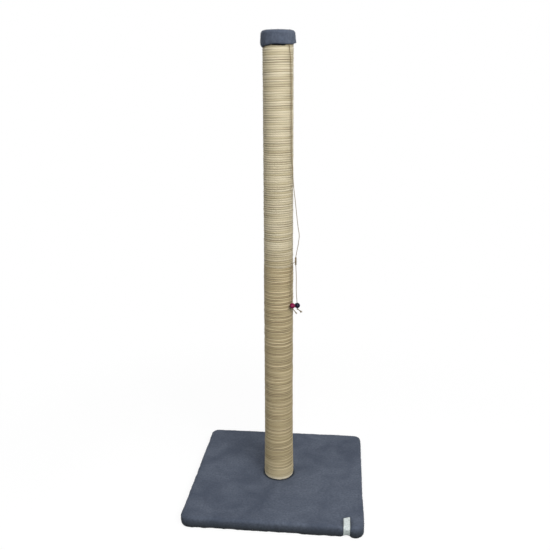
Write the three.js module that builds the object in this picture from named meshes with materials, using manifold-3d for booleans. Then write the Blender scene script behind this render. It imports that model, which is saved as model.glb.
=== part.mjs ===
// Cat scratching post: a plush-covered square base, a rope-wound post in two sections
// bolted end to end, a plush cap, and a twine toy with two beads hanging beside the post.
// Millimetres, +Z up. The origin is the middle of the base, on the floor.

import * as THREE from 'three';
import { mergeVertices } from 'three/addons/utils/BufferGeometryUtils.js';
import Module from 'manifold-3d';

const wasm = await Module();
wasm.setup();

// ---------------------------------------------------------------------------
// Driving sizes
// ---------------------------------------------------------------------------

const FIT_GAP = 0.3; // between two pieces that touch
const HINGE_GAP = 0.85; // between two stretches of twine that swing against each other
const BOLT_CLEARANCE = 0.8; // round a bolt in a plain hole

// base
const BOARD_WIDTH = 400;
const BOARD_THICKNESS = 18;
const BOARD_CORNER_RADIUS = 14;
const PLUSH_THICKNESS = 4.7;
const PLUSH_EDGE_RADIUS = 8;
const HEM_WIDTH = 35; // plush turned under the board

// staples: a flat crown and two legs
const STAPLE_CROWN = 10;
const STAPLE_LEG = 8.5;
const STAPLE_WIRE = 0.9;
const STAPLE_SINK = 1.2; // how far the crown is pressed into the plush
const STAPLES_PER_SIDE = 4;
const STAPLE_SPACING = 95;

// label ribbon, folded over the front edge
const LABEL_WIDTH = 15;
const LABEL_THICKNESS = 0.6;
const LABEL_SINK = 0.2;
const LABEL_INSET = 30; // from the board's right end in to the label's middle
const LABEL_TOP_RUN = 33; // from the front edge, back along the top
const LABEL_UNDER_RUN = 20; // from the front edge, back under the hem

// bolts
const BOLT_RADIUS = 4;
const BOLT_LENGTH = 45;
const BOLT_HEAD_FLATS = 13;
const BOLT_HEAD_HEIGHT = 5.3;
const WASHER_RADIUS = 15;
const WASHER_THICKNESS = 2;
const STUD_LENGTH = 60;

// post
const LOWER_SECTION_LENGTH = 538.5;
const UPPER_SECTION_LENGTH = 504;
const TUBE_RADIUS = 29;
const TUBE_WALL = 4;
const ROPE_THICKNESS = 4.7; // the rope as it lies on the tube
const ROPE_GROOVE_DEPTH = 1.1; // between neighbouring turns
const LOWER_ROPE_PITCH = 4.13;
const UPPER_ROPE_PITCH = 4.93;
const UPPER_ROPE_SETBACK = 6; // the top turn stops short of the tube's end

// moulded end plugs and their threaded inserts
const PLUG_FLANGE = 2.5;
const PLUG_DEPTH = 25;
const PLUG_WALL = 2.2;
const PLUG_BOSS_RADIUS = 10;
const PLUG_BOSS_DEPTH = 20;
const PLUG_RIBS = 6;
const PLUG_RIB_THICKNESS = 2;
const INSERT_BARREL_RADIUS = 5.6;
const INSERT_BARREL_LENGTH = 14;
const INSERT_FLANGE_RADIUS = 9;
const INSERT_FLANGE_THICKNESS = 1.5;
const DISC_THICKNESS = 18;

// cap
const CAP_DROP = 24; // from the tube's end down to the hem
const CAP_SHOULDER_RADIUS = 36.4;
const CAP_EDGE_RADIUS = 7;
const CAP_HEM_RADIUS = 37.9;
const CAP_HEM_EDGE = 1.2;
const CAP_HEM_LOOSE = 1; // the hem stands off this much more where the twine leaves it
const CAP_HEM_TILT = 2; // the hem is higher on the right by this much
const CAP_HEM_WAVE = 1.5; // and rises and falls three times round the post

// toy
const TOY_ANGLE = -47.5; // degrees round the post, from +X
const TWINE_RADIUS = 0.75;
const TWINE_HELD_SIDE = 2.5; // the held stretch lies this far beside the toy's middle plane
const TWINE_EXIT_DROP = 1.6; // the twine comes free this far below the hem
const TWINE_STAPLE_INSET = 18; // from the rope's surface in to the staple on the disc
const HANGER_LENGTH = 38; // the first stretch, which turns at the hem
const KNOT_RADIUS = 3.3;
const KNOT_LENGTH = 20;
const BEAD_RADIUS = 6;
const BEAD_BORE_RADIUS = 1.3;
const END_KNOT_RADIUS = 2.1;

// how finely round things are faceted
const ROUND_SEGMENTS = 28;
const PLUG_SEGMENTS = 20;
const SMALL_SEGMENTS = 16;
const CAP_SEGMENTS = 26;
const CORNER_SEGMENTS = 3;
const EDGE_SEGMENTS = 4;
const TWINE_SIDES = 8;
const ROPE_STEPS_PER_TURN = 8;

// Twine routes, each point as [off the rope's surface, sideways along it, down from the hem].
const MAIN_ROUTE = [
  [1.6, 2.5, 0],
  [1.7, 4.6, 16],
  [1.8, 6.3, 31],
  [1.9, 7.0, 50],
  [2.0, 7.5, 68],
  [2.2, 7.8, 110],
  [2.3, 7.6, 152],
  [2.5, 7.8, 190],
  [2.6, 8.6, 227],
  [2.8, 11.2, 256],
  [3.0, 14.4, 295],
  [3.2, 18.8, 327],
  [3.5, 23.1, 361],
  [3.9, 27.3, 391],
  [4.2, 29.9, 407],
  [4.5, 27.4, 425],
  [4.8, 22.8, 443],
  [5.0, 19.8, 455],
];
const LEFT_ROUTE = [
  [5.0, 16.1, 467.5],
  [5.0, 12.4, 468.8],
  [5.1, 9.6, 472.5],
  [5.3, 7.9, 479],
  [5.5, 6.9, 488],
  [5.9, 5.9, 501],
  [6.3, 5.4, 516],
  [6.6, 5.2, 531],
];
const LEFT_RUN = [[6.9, 6.1, 543], [7.8, 10.0, 574.7]]; // straight, so that the bead slides
const LEFT_TAIL = [[8.1, 12.9, 583], [8.3, 15.8, 588], [8.5, 18.9, 593]];
const RIGHT_ROUTE = [
  [5.0, 20.0, 476.2],
  [5.1, 20.6, 485],
  [5.6, 21.5, 500],
  [6.1, 21.8, 517],
  [6.4, 21.8, 531],
];
const RIGHT_RUN = [[6.7, 22.2, 543], [7.9, 24.1, 578.5]];
const RIGHT_TAIL = [[8.4, 27.6, 585], [8.6, 31.6, 590], [8.9, 36.2, 595.5]];
// The stretch that the cap holds, each point as [off the rope's surface, up from the tube's end].
const HELD_ROUTE = [
  [-20, 1.15],
  [-13, 1.2],
  [-6.5, 1.4],
  [-3.2, 1.0],
  [-0.7, -1.2],
  [0.95, -4.2],
  [1.3, -9],
  [1.4, -16],
];

// ---------------------------------------------------------------------------
// Sizes that follow
// ---------------------------------------------------------------------------

const boardBottom = PLUSH_THICKNESS + FIT_GAP;
const boardTop = boardBottom + BOARD_THICKNESS;
const coverUnderside = boardTop + FIT_GAP;
const coverTop = coverUnderside + PLUSH_THICKNESS;
const boardHalf = BOARD_WIDTH / 2;
const coverInsideHalf = boardHalf + FIT_GAP;
const coverHalf = coverInsideHalf + PLUSH_THICKNESS;
const coverCornerRadius = BOARD_CORNER_RADIUS + FIT_GAP + PLUSH_THICKNESS;
const hemInsideHalf = boardHalf - HEM_WIDTH;
const labelX = boardHalf - LABEL_INSET;
const recessTop = boardBottom + FIT_GAP + BOLT_HEAD_HEIGHT + FIT_GAP + WASHER_THICKNESS + FIT_GAP;
const recessRadius = WASHER_RADIUS + BOLT_CLEARANCE;
const washerBottom = recessTop - FIT_GAP - WASHER_THICKNESS;
const headTop = washerBottom - FIT_GAP;
const boltHoleRadius = BOLT_RADIUS + BOLT_CLEARANCE;

const ropeBore = TUBE_RADIUS + FIT_GAP;
const ropeRadius = ropeBore + ROPE_THICKNESS;
const tubeBore = TUBE_RADIUS - TUBE_WALL;
const plugRadius = tubeBore - FIT_GAP;
const tubeStart = PLUG_FLANGE + FIT_GAP; // above a section's foot
const insertStart = PLUG_BOSS_DEPTH - INSERT_BARREL_LENGTH;

const lowerFoot = coverTop + FIT_GAP;
const sectionJoint = lowerFoot + LOWER_SECTION_LENGTH + FIT_GAP / 2;
const upperFoot = sectionJoint + FIT_GAP / 2;
const postTop = upperFoot + UPPER_SECTION_LENGTH;

const twineExit = postTop - CAP_DROP - TWINE_EXIT_DROP;
const twineRoom = TWINE_RADIUS + FIT_GAP;

// ---------------------------------------------------------------------------
// Solids: closed geometries, cut and joined
// ---------------------------------------------------------------------------

// Merges shared corners and drops the empty triangles at a revolve's poles.
function closed(geometry) {
  const bare = geometry.clone();
  bare.deleteAttribute('normal');
  bare.deleteAttribute('uv');
  const merged = mergeVertices(bare, 1e-4);
  const corners = Array.from(merged.index.array);
  const kept = [];
  for (let i = 0; i < corners.length; i += 3) {
    const [a, b, c] = corners.slice(i, i + 3);
    if (a !== b && b !== c && c !== a) kept.push(a, b, c);
  }
  merged.setIndex(kept);
  return merged;
}

function toSolid(geometry) {
  const merged = closed(geometry);
  return new wasm.Manifold(new wasm.Mesh({
    numProp: 3,
    vertProperties: new Float32Array(merged.attributes.position.array),
    triVerts: new Uint32Array(merged.index.array),
  }));
}

function toGeometry(solid) {
  const mesh = solid.getMesh();
  const geometry = new THREE.BufferGeometry();
  geometry.setAttribute('position', new THREE.BufferAttribute(mesh.vertProperties, 3));
  geometry.setIndex(new THREE.BufferAttribute(mesh.triVerts, 1));
  return geometry;
}

function cut(geometry, tools) {
  return toGeometry(tools.reduce((solid, tool) => solid.subtract(toSolid(tool)), toSolid(geometry)));
}

function join(geometry, others) {
  return toGeometry(others.reduce((solid, other) => solid.add(toSolid(other)), toSolid(geometry)));
}

function common(geometry, other) {
  return toGeometry(toSolid(geometry).intersect(toSolid(other)));
}

// A profile of [radius, height] points, anticlockwise, turned about the Z axis.
function revolve(profile, segments) {
  const points = profile.map(([radius, height]) => new THREE.Vector2(radius, height));
  points.push(points[0].clone());
  return closed(new THREE.LatheGeometry(points, segments).rotateX(Math.PI / 2));
}

function ring(innerRadius, outerRadius, bottom, top, segments) {
  return revolve([
    [innerRadius, bottom],
    [outerRadius, bottom],
    [outerRadius, top],
    [innerRadius, top],
  ], segments);
}

function rod(radius, bottom, top, segments) {
  return new THREE.CylinderGeometry(radius, radius, top - bottom, segments)
    .rotateX(Math.PI / 2)
    .translate(0, 0, (bottom + top) / 2);
}

function roundedSquare(half, radius) {
  const straight = half - radius;
  const shape = new THREE.Shape();
  shape.absarc(straight, straight, radius, 0, Math.PI / 2);
  shape.absarc(-straight, straight, radius, Math.PI / 2, Math.PI);
  shape.absarc(-straight, -straight, radius, Math.PI, 1.5 * Math.PI);
  shape.absarc(straight, -straight, radius, 1.5 * Math.PI, 2 * Math.PI);
  return shape;
}

function squarePlate(half, radius, bottom, top) {
  return new THREE.ExtrudeGeometry(roundedSquare(half, radius), {
    depth: top - bottom,
    bevelEnabled: false,
    curveSegments: CORNER_SEGMENTS,
  }).translate(0, 0, bottom);
}

// A tube of round section along a curve.
function tube(curve, radius, sides, steps) {
  const section = new THREE.Shape();
  for (let side = 0; side < sides; side += 1) {
    const angle = (2 * Math.PI * side) / sides;
    const corner = [radius * Math.cos(angle), radius * Math.sin(angle)];
    if (side === 0) section.moveTo(...corner);
    else section.lineTo(...corner);
  }
  return new THREE.ExtrudeGeometry(section, { extrudePath: curve, steps });
}

// ---------------------------------------------------------------------------
// Base
// ---------------------------------------------------------------------------

// A staple seen from its side, crown down, grown by `room` all round.
function staple(crown, leg, room) {
  const outside = crown / 2 + room;
  const inside = crown / 2 - STAPLE_WIRE - room;
  const bottom = -room;
  const arch = STAPLE_WIRE + room;
  const tip = leg + room;
  const shape = new THREE.Shape([
    new THREE.Vector2(-outside, bottom),
    new THREE.Vector2(outside, bottom),
    new THREE.Vector2(outside, tip),
    new THREE.Vector2(inside, tip),
    new THREE.Vector2(inside, arch),
    new THREE.Vector2(-inside, arch),
    new THREE.Vector2(-inside, tip),
    new THREE.Vector2(-outside, tip),
  ]);
  const width = STAPLE_WIRE + 2 * room;
  return new THREE.ExtrudeGeometry(shape, { depth: width, bevelEnabled: false })
    .translate(0, 0, -width / 2)
    .rotateX(Math.PI / 2);
}

// The staples run along the middle of the hem, the same number on each side of the board.
function hemStaplePlaces() {
  const places = [];
  const fromMiddle = (hemInsideHalf + boardHalf) / 2;
  for (let side = 0; side < 4; side += 1) {
    for (let count = 0; count < STAPLES_PER_SIDE; count += 1) {
      const along = (count - (STAPLES_PER_SIDE - 1) / 2) * STAPLE_SPACING;
      const turn = (side * Math.PI) / 2;
      const position = new THREE.Vector3(along, -fromMiddle, STAPLE_SINK)
        .applyAxisAngle(new THREE.Vector3(0, 0, 1), turn);
      places.push({ position, turn });
    }
  }
  return places;
}

function hemStapleRoom() {
  return hemStaplePlaces().map(({ position, turn }) => {
    const room = staple(STAPLE_CROWN, STAPLE_LEG, FIT_GAP);
    return room.rotateZ(turn).translate(position.x, position.y, position.z);
  });
}

// The dimple that each crown presses into the hem, open downwards.
function hemDimples() {
  return hemStaplePlaces().map(({ position, turn }) => {
    const length = STAPLE_CROWN + 2 * FIT_GAP;
    const width = STAPLE_WIRE + 2 * FIT_GAP;
    return new THREE.BoxGeometry(length, width, 2 * STAPLE_SINK)
      .rotateZ(turn)
      .translate(position.x, position.y, 0);
  });
}

function makeBoard() {
  return cut(squarePlate(boardHalf, BOARD_CORNER_RADIUS, boardBottom, boardTop), [
    rod(recessRadius, boardBottom - 1, recessTop, ROUND_SEGMENTS),
    rod(boltHoleRadius, boardBottom, boardTop + 1, SMALL_SEGMENTS),
    ...hemStapleRoom(),
  ]);
}

// One sheet over the board's top and edges, turned under as a hem.
function makeBaseCover() {
  const round = PLUSH_EDGE_RADIUS;
  const outline = roundedSquare(coverHalf - round, coverCornerRadius - round);
  const outside = new THREE.ExtrudeGeometry(outline, {
    depth: coverTop - 2 * round,
    bevelSize: round,
    bevelThickness: round,
    bevelSegments: EDGE_SEGMENTS,
    curveSegments: CORNER_SEGMENTS,
  }).translate(0, 0, round);
  const insideRadius = BOARD_CORNER_RADIUS + FIT_GAP;
  return cut(outside, [
    squarePlate(coverInsideHalf, insideRadius, PLUSH_THICKNESS, coverUnderside),
    squarePlate(hemInsideHalf, insideRadius, -1, boardBottom),
    rod(boltHoleRadius, boardTop, coverTop + 1, SMALL_SEGMENTS),
    labelRibbon(-1, LABEL_SINK + LABEL_THICKNESS + FIT_GAP, FIT_GAP),
    ...hemStapleRoom(),
    ...hemDimples(),
  ]);
}

// The ribbon's band between two depths below the plush, with `room` past its ends and edges.
function labelRibbon(fromDepth, toDepth, room) {
  const edge = -coverHalf;
  const bend = [edge + PLUSH_EDGE_RADIUS, coverTop - PLUSH_EDGE_RADIUS, PLUSH_EDGE_RADIUS];
  const shape = new THREE.Shape();
  const outer = PLUSH_EDGE_RADIUS - fromDepth;
  const inner = PLUSH_EDGE_RADIUS - toDepth;
  const topEnd = edge + LABEL_TOP_RUN + room;
  const underEnd = edge + LABEL_UNDER_RUN + room;
  shape.moveTo(topEnd, coverTop - fromDepth);
  shape.lineTo(bend[0], coverTop - fromDepth);
  shape.absarc(bend[0], bend[1], outer, Math.PI / 2, Math.PI);
  shape.absarc(bend[0], bend[2], outer, Math.PI, 1.5 * Math.PI);
  shape.lineTo(underEnd, fromDepth);
  shape.lineTo(underEnd, toDepth);
  shape.absarc(bend[0], bend[2], inner, 1.5 * Math.PI, Math.PI, true);
  shape.absarc(bend[0], bend[1], inner, Math.PI, Math.PI / 2, true);
  shape.lineTo(topEnd, coverTop - toDepth);
  const width = LABEL_WIDTH + 2 * room;
  const band = new THREE.ExtrudeGeometry(shape, {
    depth: width,
    bevelEnabled: false,
    curveSegments: EDGE_SEGMENTS / 2,
  });
  const toRow = new THREE.Matrix4().makeBasis(
    new THREE.Vector3(0, 1, 0),
    new THREE.Vector3(0, 0, 1),
    new THREE.Vector3(1, 0, 0),
  );
  return band.applyMatrix4(toRow).translate(labelX - width / 2, 0, 0);
}

function makeBolt() {
  const corner = BOLT_HEAD_FLATS / 2 / Math.cos(Math.PI / 6);
  return join(rod(corner, -BOLT_HEAD_HEIGHT, 0, 6), [
    rod(BOLT_RADIUS, -BOLT_HEAD_HEIGHT / 2, BOLT_LENGTH, SMALL_SEGMENTS),
  ]);
}

// ---------------------------------------------------------------------------
// Post
// ---------------------------------------------------------------------------

// The least distance from any point of a wound line to the turns above it.
function leastTurnGap(line) {
  const turn = ROPE_STEPS_PER_TURN;
  let least = Infinity;
  for (let i = 0; i + turn < line.length; i += 1) {
    for (let j = i + turn / 2; j < Math.min(i + 2 * turn, line.length); j += 1) {
      least = Math.min(least, line[i].distanceTo(line[j]));
    }
  }
  return least;
}

// Rope wound side by side along `length`: one unbroken helical ridge, one turn to each pitch,
// with the groove between the turns, bored for the tube and flat at both ends.
function makeWinding(name, length, pitch) {
  const turnSteps = ROPE_STEPS_PER_TURN;
  const spareTurns = 1.2; // past each end, before the ends are cut flat
  const ridgeSteps = Math.ceil((length / pitch + 2 * spareTurns) * turnSteps);
  const grooveSteps = ridgeSteps - turnSteps;
  const helixPoint = (radius, step, lift) => {
    const angle = (2 * Math.PI * step) / turnSteps;
    const height = (step / turnSteps - spareTurns + lift) * pitch;
    return new THREE.Vector3(radius * Math.cos(angle), radius * Math.sin(angle), height);
  };
  const ridgeLine = [];
  const grooveLine = [];
  for (let step = 0; step <= ridgeSteps; step += 1) {
    ridgeLine.push(helixPoint(ropeRadius, step, 0));
  }
  for (let step = 0; step <= grooveSteps; step += 1) {
    grooveLine.push(helixPoint(ropeRadius - ROPE_GROOVE_DEPTH, step, 0.5));
  }
  const turns = (length / pitch).toFixed(1);
  console.log(`${name}: ${turns} turns, ridges ${leastTurnGap(ridgeLine).toFixed(2)} mm apart`);

  const ridge = (step) => step;
  const groove = (step) => ridgeSteps + 1 + step;
  const footCentre = ridgeSteps + grooveSteps + 2;
  const headCentre = footCentre + 1;
  const footPoint = new THREE.Vector3(0, 0, -spareTurns * pitch);
  const headPoint = new THREE.Vector3(0, 0, length + spareTurns * pitch);
  const corners = [...ridgeLine, ...grooveLine, footPoint, headPoint];

  const faces = [];
  const addBand = (a, b, c, d) => faces.push(a, b, c, a, c, d);
  for (let step = 0; step < grooveSteps; step += 1) {
    addBand(ridge(step), ridge(step + 1), groove(step + 1), groove(step));
    const above = step + turnSteps;
    addBand(groove(step), groove(step + 1), ridge(above + 1), ridge(above));
  }
  for (let step = 0; step < turnSteps; step += 1) {
    const top = grooveSteps + step;
    faces.push(footCentre, ridge(step + 1), ridge(step));
    faces.push(headCentre, ridge(top), ridge(top + 1));
  }
  faces.push(footCentre, ridge(0), groove(0));
  faces.push(footCentre, groove(0), ridge(turnSteps));
  faces.push(headCentre, groove(grooveSteps), ridge(grooveSteps));
  faces.push(headCentre, ridge(ridgeSteps), groove(grooveSteps));

  const screw = new THREE.BufferGeometry().setFromPoints(corners);
  screw.setIndex(faces);
  return common(screw, ring(ropeBore, 2 * ropeRadius, 0, length, ROUND_SEGMENTS));
}

function makeTube(length) {
  return ring(tubeBore, TUBE_RADIUS, 0, length, ROUND_SEGMENTS);
}

// A moulded cap for a tube's end: flange, cup wall, ribs, and a boss for the threaded insert.
// Its outer face is at 0, and its cup points up.
function makePlug() {
  const cupInside = plugRadius - PLUG_WALL;
  const body = revolve([
    [boltHoleRadius, 0],
    [TUBE_RADIUS, 0],
    [TUBE_RADIUS, PLUG_FLANGE],
    [plugRadius, PLUG_FLANGE],
    [plugRadius, PLUG_DEPTH],
    [cupInside, PLUG_DEPTH],
    [cupInside, PLUG_FLANGE],
    [PLUG_BOSS_RADIUS, PLUG_FLANGE],
    [PLUG_BOSS_RADIUS, PLUG_BOSS_DEPTH],
    [INSERT_BARREL_RADIUS + FIT_GAP, PLUG_BOSS_DEPTH],
    [INSERT_BARREL_RADIUS + FIT_GAP, insertStart],
    [boltHoleRadius, insertStart],
  ], PLUG_SEGMENTS);
  const ribInner = (INSERT_BARREL_RADIUS + FIT_GAP + PLUG_BOSS_RADIUS) / 2;
  const ribOuter = cupInside + PLUG_WALL / 2;
  const ribBottom = PLUG_FLANGE / 2;
  const ribs = [];
  for (let rib = 0; rib < PLUG_RIBS; rib += 1) {
    const height = PLUG_BOSS_DEPTH - FIT_GAP - ribBottom;
    ribs.push(new THREE.BoxGeometry(ribOuter - ribInner, PLUG_RIB_THICKNESS, height)
      .translate((ribInner + ribOuter) / 2, 0, ribBottom + height / 2)
      .rotateZ((2 * Math.PI * rib) / PLUG_RIBS));
  }
  return join(body, ribs);
}

// A barrel in the boss and a flange that pulls against the boss's inner end.
function makeInsert() {
  const bore = BOLT_RADIUS + FIT_GAP;
  return revolve([
    [bore, 0],
    [INSERT_BARREL_RADIUS, 0],
    [INSERT_BARREL_RADIUS, INSERT_BARREL_LENGTH],
    [INSERT_FLANGE_RADIUS, INSERT_BARREL_LENGTH],
    [INSERT_FLANGE_RADIUS, INSERT_BARREL_LENGTH + INSERT_FLANGE_THICKNESS],
    [bore, INSERT_BARREL_LENGTH + INSERT_FLANGE_THICKNESS],
  ], SMALL_SEGMENTS);
}

// ---------------------------------------------------------------------------
// Cap. Heights are from the tube's end.
// ---------------------------------------------------------------------------

const toyTurn = THREE.MathUtils.degToRad(TOY_ANGLE);

// From the toy's own directions (outward, sideways) to the post's.
function besidePost(geometry) {
  return geometry.rotateZ(toyTurn);
}

function heldTwineCurve(extra) {
  const points = HELD_ROUTE.map(([off, up]) => (
    new THREE.Vector3(ropeRadius + off, TWINE_HELD_SIDE, up)
  ));
  const [exitOff, exitSide] = MAIN_ROUTE[0];
  const exitHeight = HINGE_GAP - CAP_DROP - TWINE_EXIT_DROP;
  points.push(new THREE.Vector3(ropeRadius + exitOff, exitSide, exitHeight - extra));
  return new THREE.CatmullRomCurve3(points, false, 'centripetal');
}

// How far the hem is lifted at an angle round the post.
function hemLift(angle) {
  const tilt = CAP_HEM_TILT * Math.cos(angle + Math.PI / 18);
  const wave = CAP_HEM_WAVE * Math.cos(3 * (angle - Math.PI / 10.6));
  return tilt + wave;
}

function makeCapCover() {
  const inside = ropeRadius + FIT_GAP;
  const top = FIT_GAP + PLUSH_THICKNESS;
  const profile = [
    [0, FIT_GAP],
    [TUBE_RADIUS + 4 * FIT_GAP, FIT_GAP],
    [inside, FIT_GAP - UPPER_ROPE_SETBACK],
    [inside, -CAP_DROP / 2],
    [inside, -CAP_DROP + CAP_HEM_EDGE],
    [inside + CAP_HEM_EDGE, -CAP_DROP],
    [CAP_HEM_RADIUS - CAP_HEM_EDGE, -CAP_DROP],
    [CAP_HEM_RADIUS, -CAP_DROP + CAP_HEM_EDGE],
    [(CAP_HEM_RADIUS + CAP_SHOULDER_RADIUS) / 2, -CAP_DROP / 2],
  ];
  for (let step = 0; step <= EDGE_SEGMENTS; step += 1) {
    const angle = (step * Math.PI) / 2 / EDGE_SEGMENTS;
    profile.push([
      CAP_SHOULDER_RADIUS - CAP_EDGE_RADIUS * (1 - Math.cos(angle)),
      top - CAP_EDGE_RADIUS * (1 - Math.sin(angle)),
    ]);
  }
  profile.push([0, top]);
  const cover = revolve(profile, CAP_SEGMENTS);
  const corners = cover.attributes.position;
  for (let i = 0; i < corners.count; i += 1) {
    const x = corners.getX(i);
    const y = corners.getY(i);
    const z = corners.getZ(i);
    const towardsHem = THREE.MathUtils.clamp((-z / CAP_DROP - 0.5) * 2, 0, 1);
    const angle = Math.atan2(y, x);
    const facingToy = Math.max(0, Math.cos(angle - toyTurn));
    const loose = Math.hypot(x, y) > inside + CAP_HEM_EDGE / 2 ? CAP_HEM_LOOSE * facingToy : 0;
    const grow = 1 + (loose * towardsHem) / Math.hypot(x, y);
    if (towardsHem > 0) corners.setXYZ(i, x * grow, y * grow, z + hemLift(angle) * towardsHem);
  }
  const twineChannel = tube(heldTwineCurve(8), twineRoom, TWINE_SIDES, 14);
  return cut(cover, [besidePost(twineChannel), besidePost(twineStaple(FIT_GAP))]);
}

// The staple that holds the twine's end: crown over the twine, legs down into the disc.
function twineStaple(room) {
  const crownTop = 2 * twineRoom + STAPLE_WIRE;
  const crown = 2 * (twineRoom + STAPLE_WIRE);
  return staple(crown, STAPLE_LEG, room)
    .rotateX(Math.PI)
    .rotateZ(Math.PI / 2)
    .translate(ropeRadius - TWINE_STAPLE_INSET, TWINE_HELD_SIDE, crownTop);
}

function makeTopDisc() {
  return cut(rod(plugRadius, -DISC_THICKNESS, 0, ROUND_SEGMENTS), [
    besidePost(twineStaple(FIT_GAP)),
  ]);
}

// ---------------------------------------------------------------------------
// Toy. Its frame: +X outward from the rope's surface, +Y sideways, the hem's exit at 0.
// ---------------------------------------------------------------------------

const routePoint = ([off, side, down]) => new THREE.Vector3(off, side, -down);

// The part of a curve between two shares of its length.
class Stretch extends THREE.Curve {
  constructor(whole, from, to) {
    super();
    this.whole = whole;
    this.from = from;
    this.to = to;
  }

  getPoint(share, target = new THREE.Vector3()) {
    return target.copy(this.whole.getPointAt(THREE.MathUtils.lerp(this.from, this.to, share)));
  }
}

const mainCurve = new THREE.CatmullRomCurve3(MAIN_ROUTE.map(routePoint), false, 'centripetal');
const mainLength = mainCurve.getLength();

// A strand: its bends, then a straight run through the bead.
function strandCurve(route, run) {
  const [runStart, runEnd] = run.map(routePoint);
  const points = route.map(routePoint);
  for (const share of [0, 0.25, 0.5, 0.75, 1]) {
    points.push(runStart.clone().lerp(runEnd, share));
  }
  return new THREE.CatmullRomCurve3(points, false, 'centripetal');
}

function runDirection(run) {
  const [runStart, runEnd] = run.map(routePoint);
  return runEnd.sub(runStart).normalize();
}

function beadCentre(run) {
  return routePoint(run[1]).addScaledVector(runDirection(run), -BEAD_RADIUS);
}

// Three wraps of twine, one above the other.
function makeKnot() {
  const half = KNOT_LENGTH / 2;
  const waist = 0.82 * KNOT_RADIUS;
  const profile = [
    [0, -half],
    [TWINE_RADIUS * 1.6, -half],
    [KNOT_RADIUS * 0.9, -0.72 * half],
    [waist, -0.33 * half],
    [KNOT_RADIUS, 0],
    [waist, 0.33 * half],
    [KNOT_RADIUS * 0.9, 0.72 * half],
    [TWINE_RADIUS * 1.6, half],
    [0, half],
  ];
  return revolve(profile, 12);
}

function makeBead() {
  const profile = [];
  const mouth = Math.asin(BEAD_BORE_RADIUS / BEAD_RADIUS);
  const arcs = 8;
  for (let step = 0; step <= arcs; step += 1) {
    const angle = mouth + ((Math.PI - 2 * mouth) * step) / arcs;
    profile.push([BEAD_RADIUS * Math.sin(angle), -BEAD_RADIUS * Math.cos(angle)]);
  }
  return revolve(profile, SMALL_SEGMENTS);
}

// The knot under a bead, with the twine's short end coming out of it.
function makeEndKnot(run, tail) {
  const centre = routePoint(run[1])
    .addScaledVector(runDirection(run), END_KNOT_RADIUS + FIT_GAP);
  const knot = new THREE.SphereGeometry(END_KNOT_RADIUS, 10, 6)
    .translate(centre.x, centre.y, centre.z);
  const points = [centre, ...tail.map(routePoint)];
  const end = tube(new THREE.CatmullRomCurve3(points), TWINE_RADIUS, TWINE_SIDES, 5);
  return join(knot, [end]);
}

// ---------------------------------------------------------------------------
// Materials
// ---------------------------------------------------------------------------

function finish(color, roughness, metalness = 0) {
  return new THREE.MeshStandardMaterial({ color, roughness, metalness, flatShading: true });
}

const finishes = {
  plush: finish('#4d5463', 0.95),
  lowerRope: finish('#a5946f', 0.9),
  upperRope: finish('#c4b896', 0.9),
  cardboard: finish('#9c7f5a', 0.85),
  board: finish('#b08d5e', 0.8),
  moulding: finish('#22242a', 0.55),
  steel: finish('#b4b7ba', 0.35, 0.9),
  ribbon: finish('#eef1ee', 0.8),
  twine: finish('#a89a80', 0.9),
  magentaBead: finish('#a32a63', 0.15),
  navyBead: finish('#1d1838', 0.15),
};

// ---------------------------------------------------------------------------
// Assembly
// ---------------------------------------------------------------------------

function piece(parent, name, geometry, material) {
  const mesh = new THREE.Mesh(geometry, material.clone());
  mesh.name = name;
  parent.add(mesh);
  return mesh;
}

function group(parent, height = 0) {
  const node = new THREE.Group();
  node.position.z = height;
  parent.add(node);
  return node;
}

function addBase(parent) {
  piece(parent, 'base_board', makeBoard(), finishes.board);
  piece(parent, 'base_cover', makeBaseCover(), finishes.plush);
  const ribbonInside = LABEL_SINK + LABEL_THICKNESS;
  piece(parent, 'label', labelRibbon(LABEL_SINK, ribbonInside, 0), finishes.ribbon);
  piece(parent, 'base_bolt', makeBolt(), finishes.steel).position.z = headTop;
  const washer = ring(boltHoleRadius, WASHER_RADIUS, 0, WASHER_THICKNESS, ROUND_SEGMENTS);
  piece(parent, 'base_washer', washer, finishes.steel).position.z = washerBottom;
  hemStaplePlaces().forEach(({ position, turn }, index) => {
    const name = `hem_staple_${String(index + 1).padStart(2, '0')}`;
    const mesh = piece(parent, name, staple(STAPLE_CROWN, STAPLE_LEG, 0), finishes.steel);
    mesh.position.copy(position);
    mesh.rotation.z = turn;
  });
}

// A plug and its insert at a section's foot, or turned over at its head.
function addPlug(parent, names, height, turnedOver) {
  const node = group(parent, height);
  node.rotation.x = turnedOver ? Math.PI : 0;
  piece(node, names[0], makePlug(), finishes.moulding);
  piece(node, names[1], makeInsert(), finishes.steel).position.z = insertStart + FIT_GAP;
}

function addLowerSection(parent) {
  const section = group(parent, lowerFoot);
  const length = LOWER_SECTION_LENGTH;
  addPlug(section, ['lower_foot_plug', 'lower_foot_insert'], 0, false);
  piece(section, 'lower_tube', makeTube(length - 2 * tubeStart), finishes.cardboard)
    .position.z = tubeStart;
  addPlug(section, ['lower_head_plug', 'lower_head_insert'], length, true);
  const winding = makeWinding('lower_rope', length, LOWER_ROPE_PITCH);
  piece(section, 'lower_rope', winding, finishes.lowerRope);
}

function addUpperSection(parent) {
  const section = group(parent, upperFoot);
  const length = UPPER_SECTION_LENGTH;
  const winding = makeWinding('upper_rope', length - UPPER_ROPE_SETBACK, UPPER_ROPE_PITCH);
  addPlug(section, ['upper_foot_plug', 'upper_foot_insert'], 0, false);
  piece(section, 'upper_tube', makeTube(length - tubeStart), finishes.cardboard)
    .position.z = tubeStart;
  piece(section, 'upper_rope', winding, finishes.upperRope);
}

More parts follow.
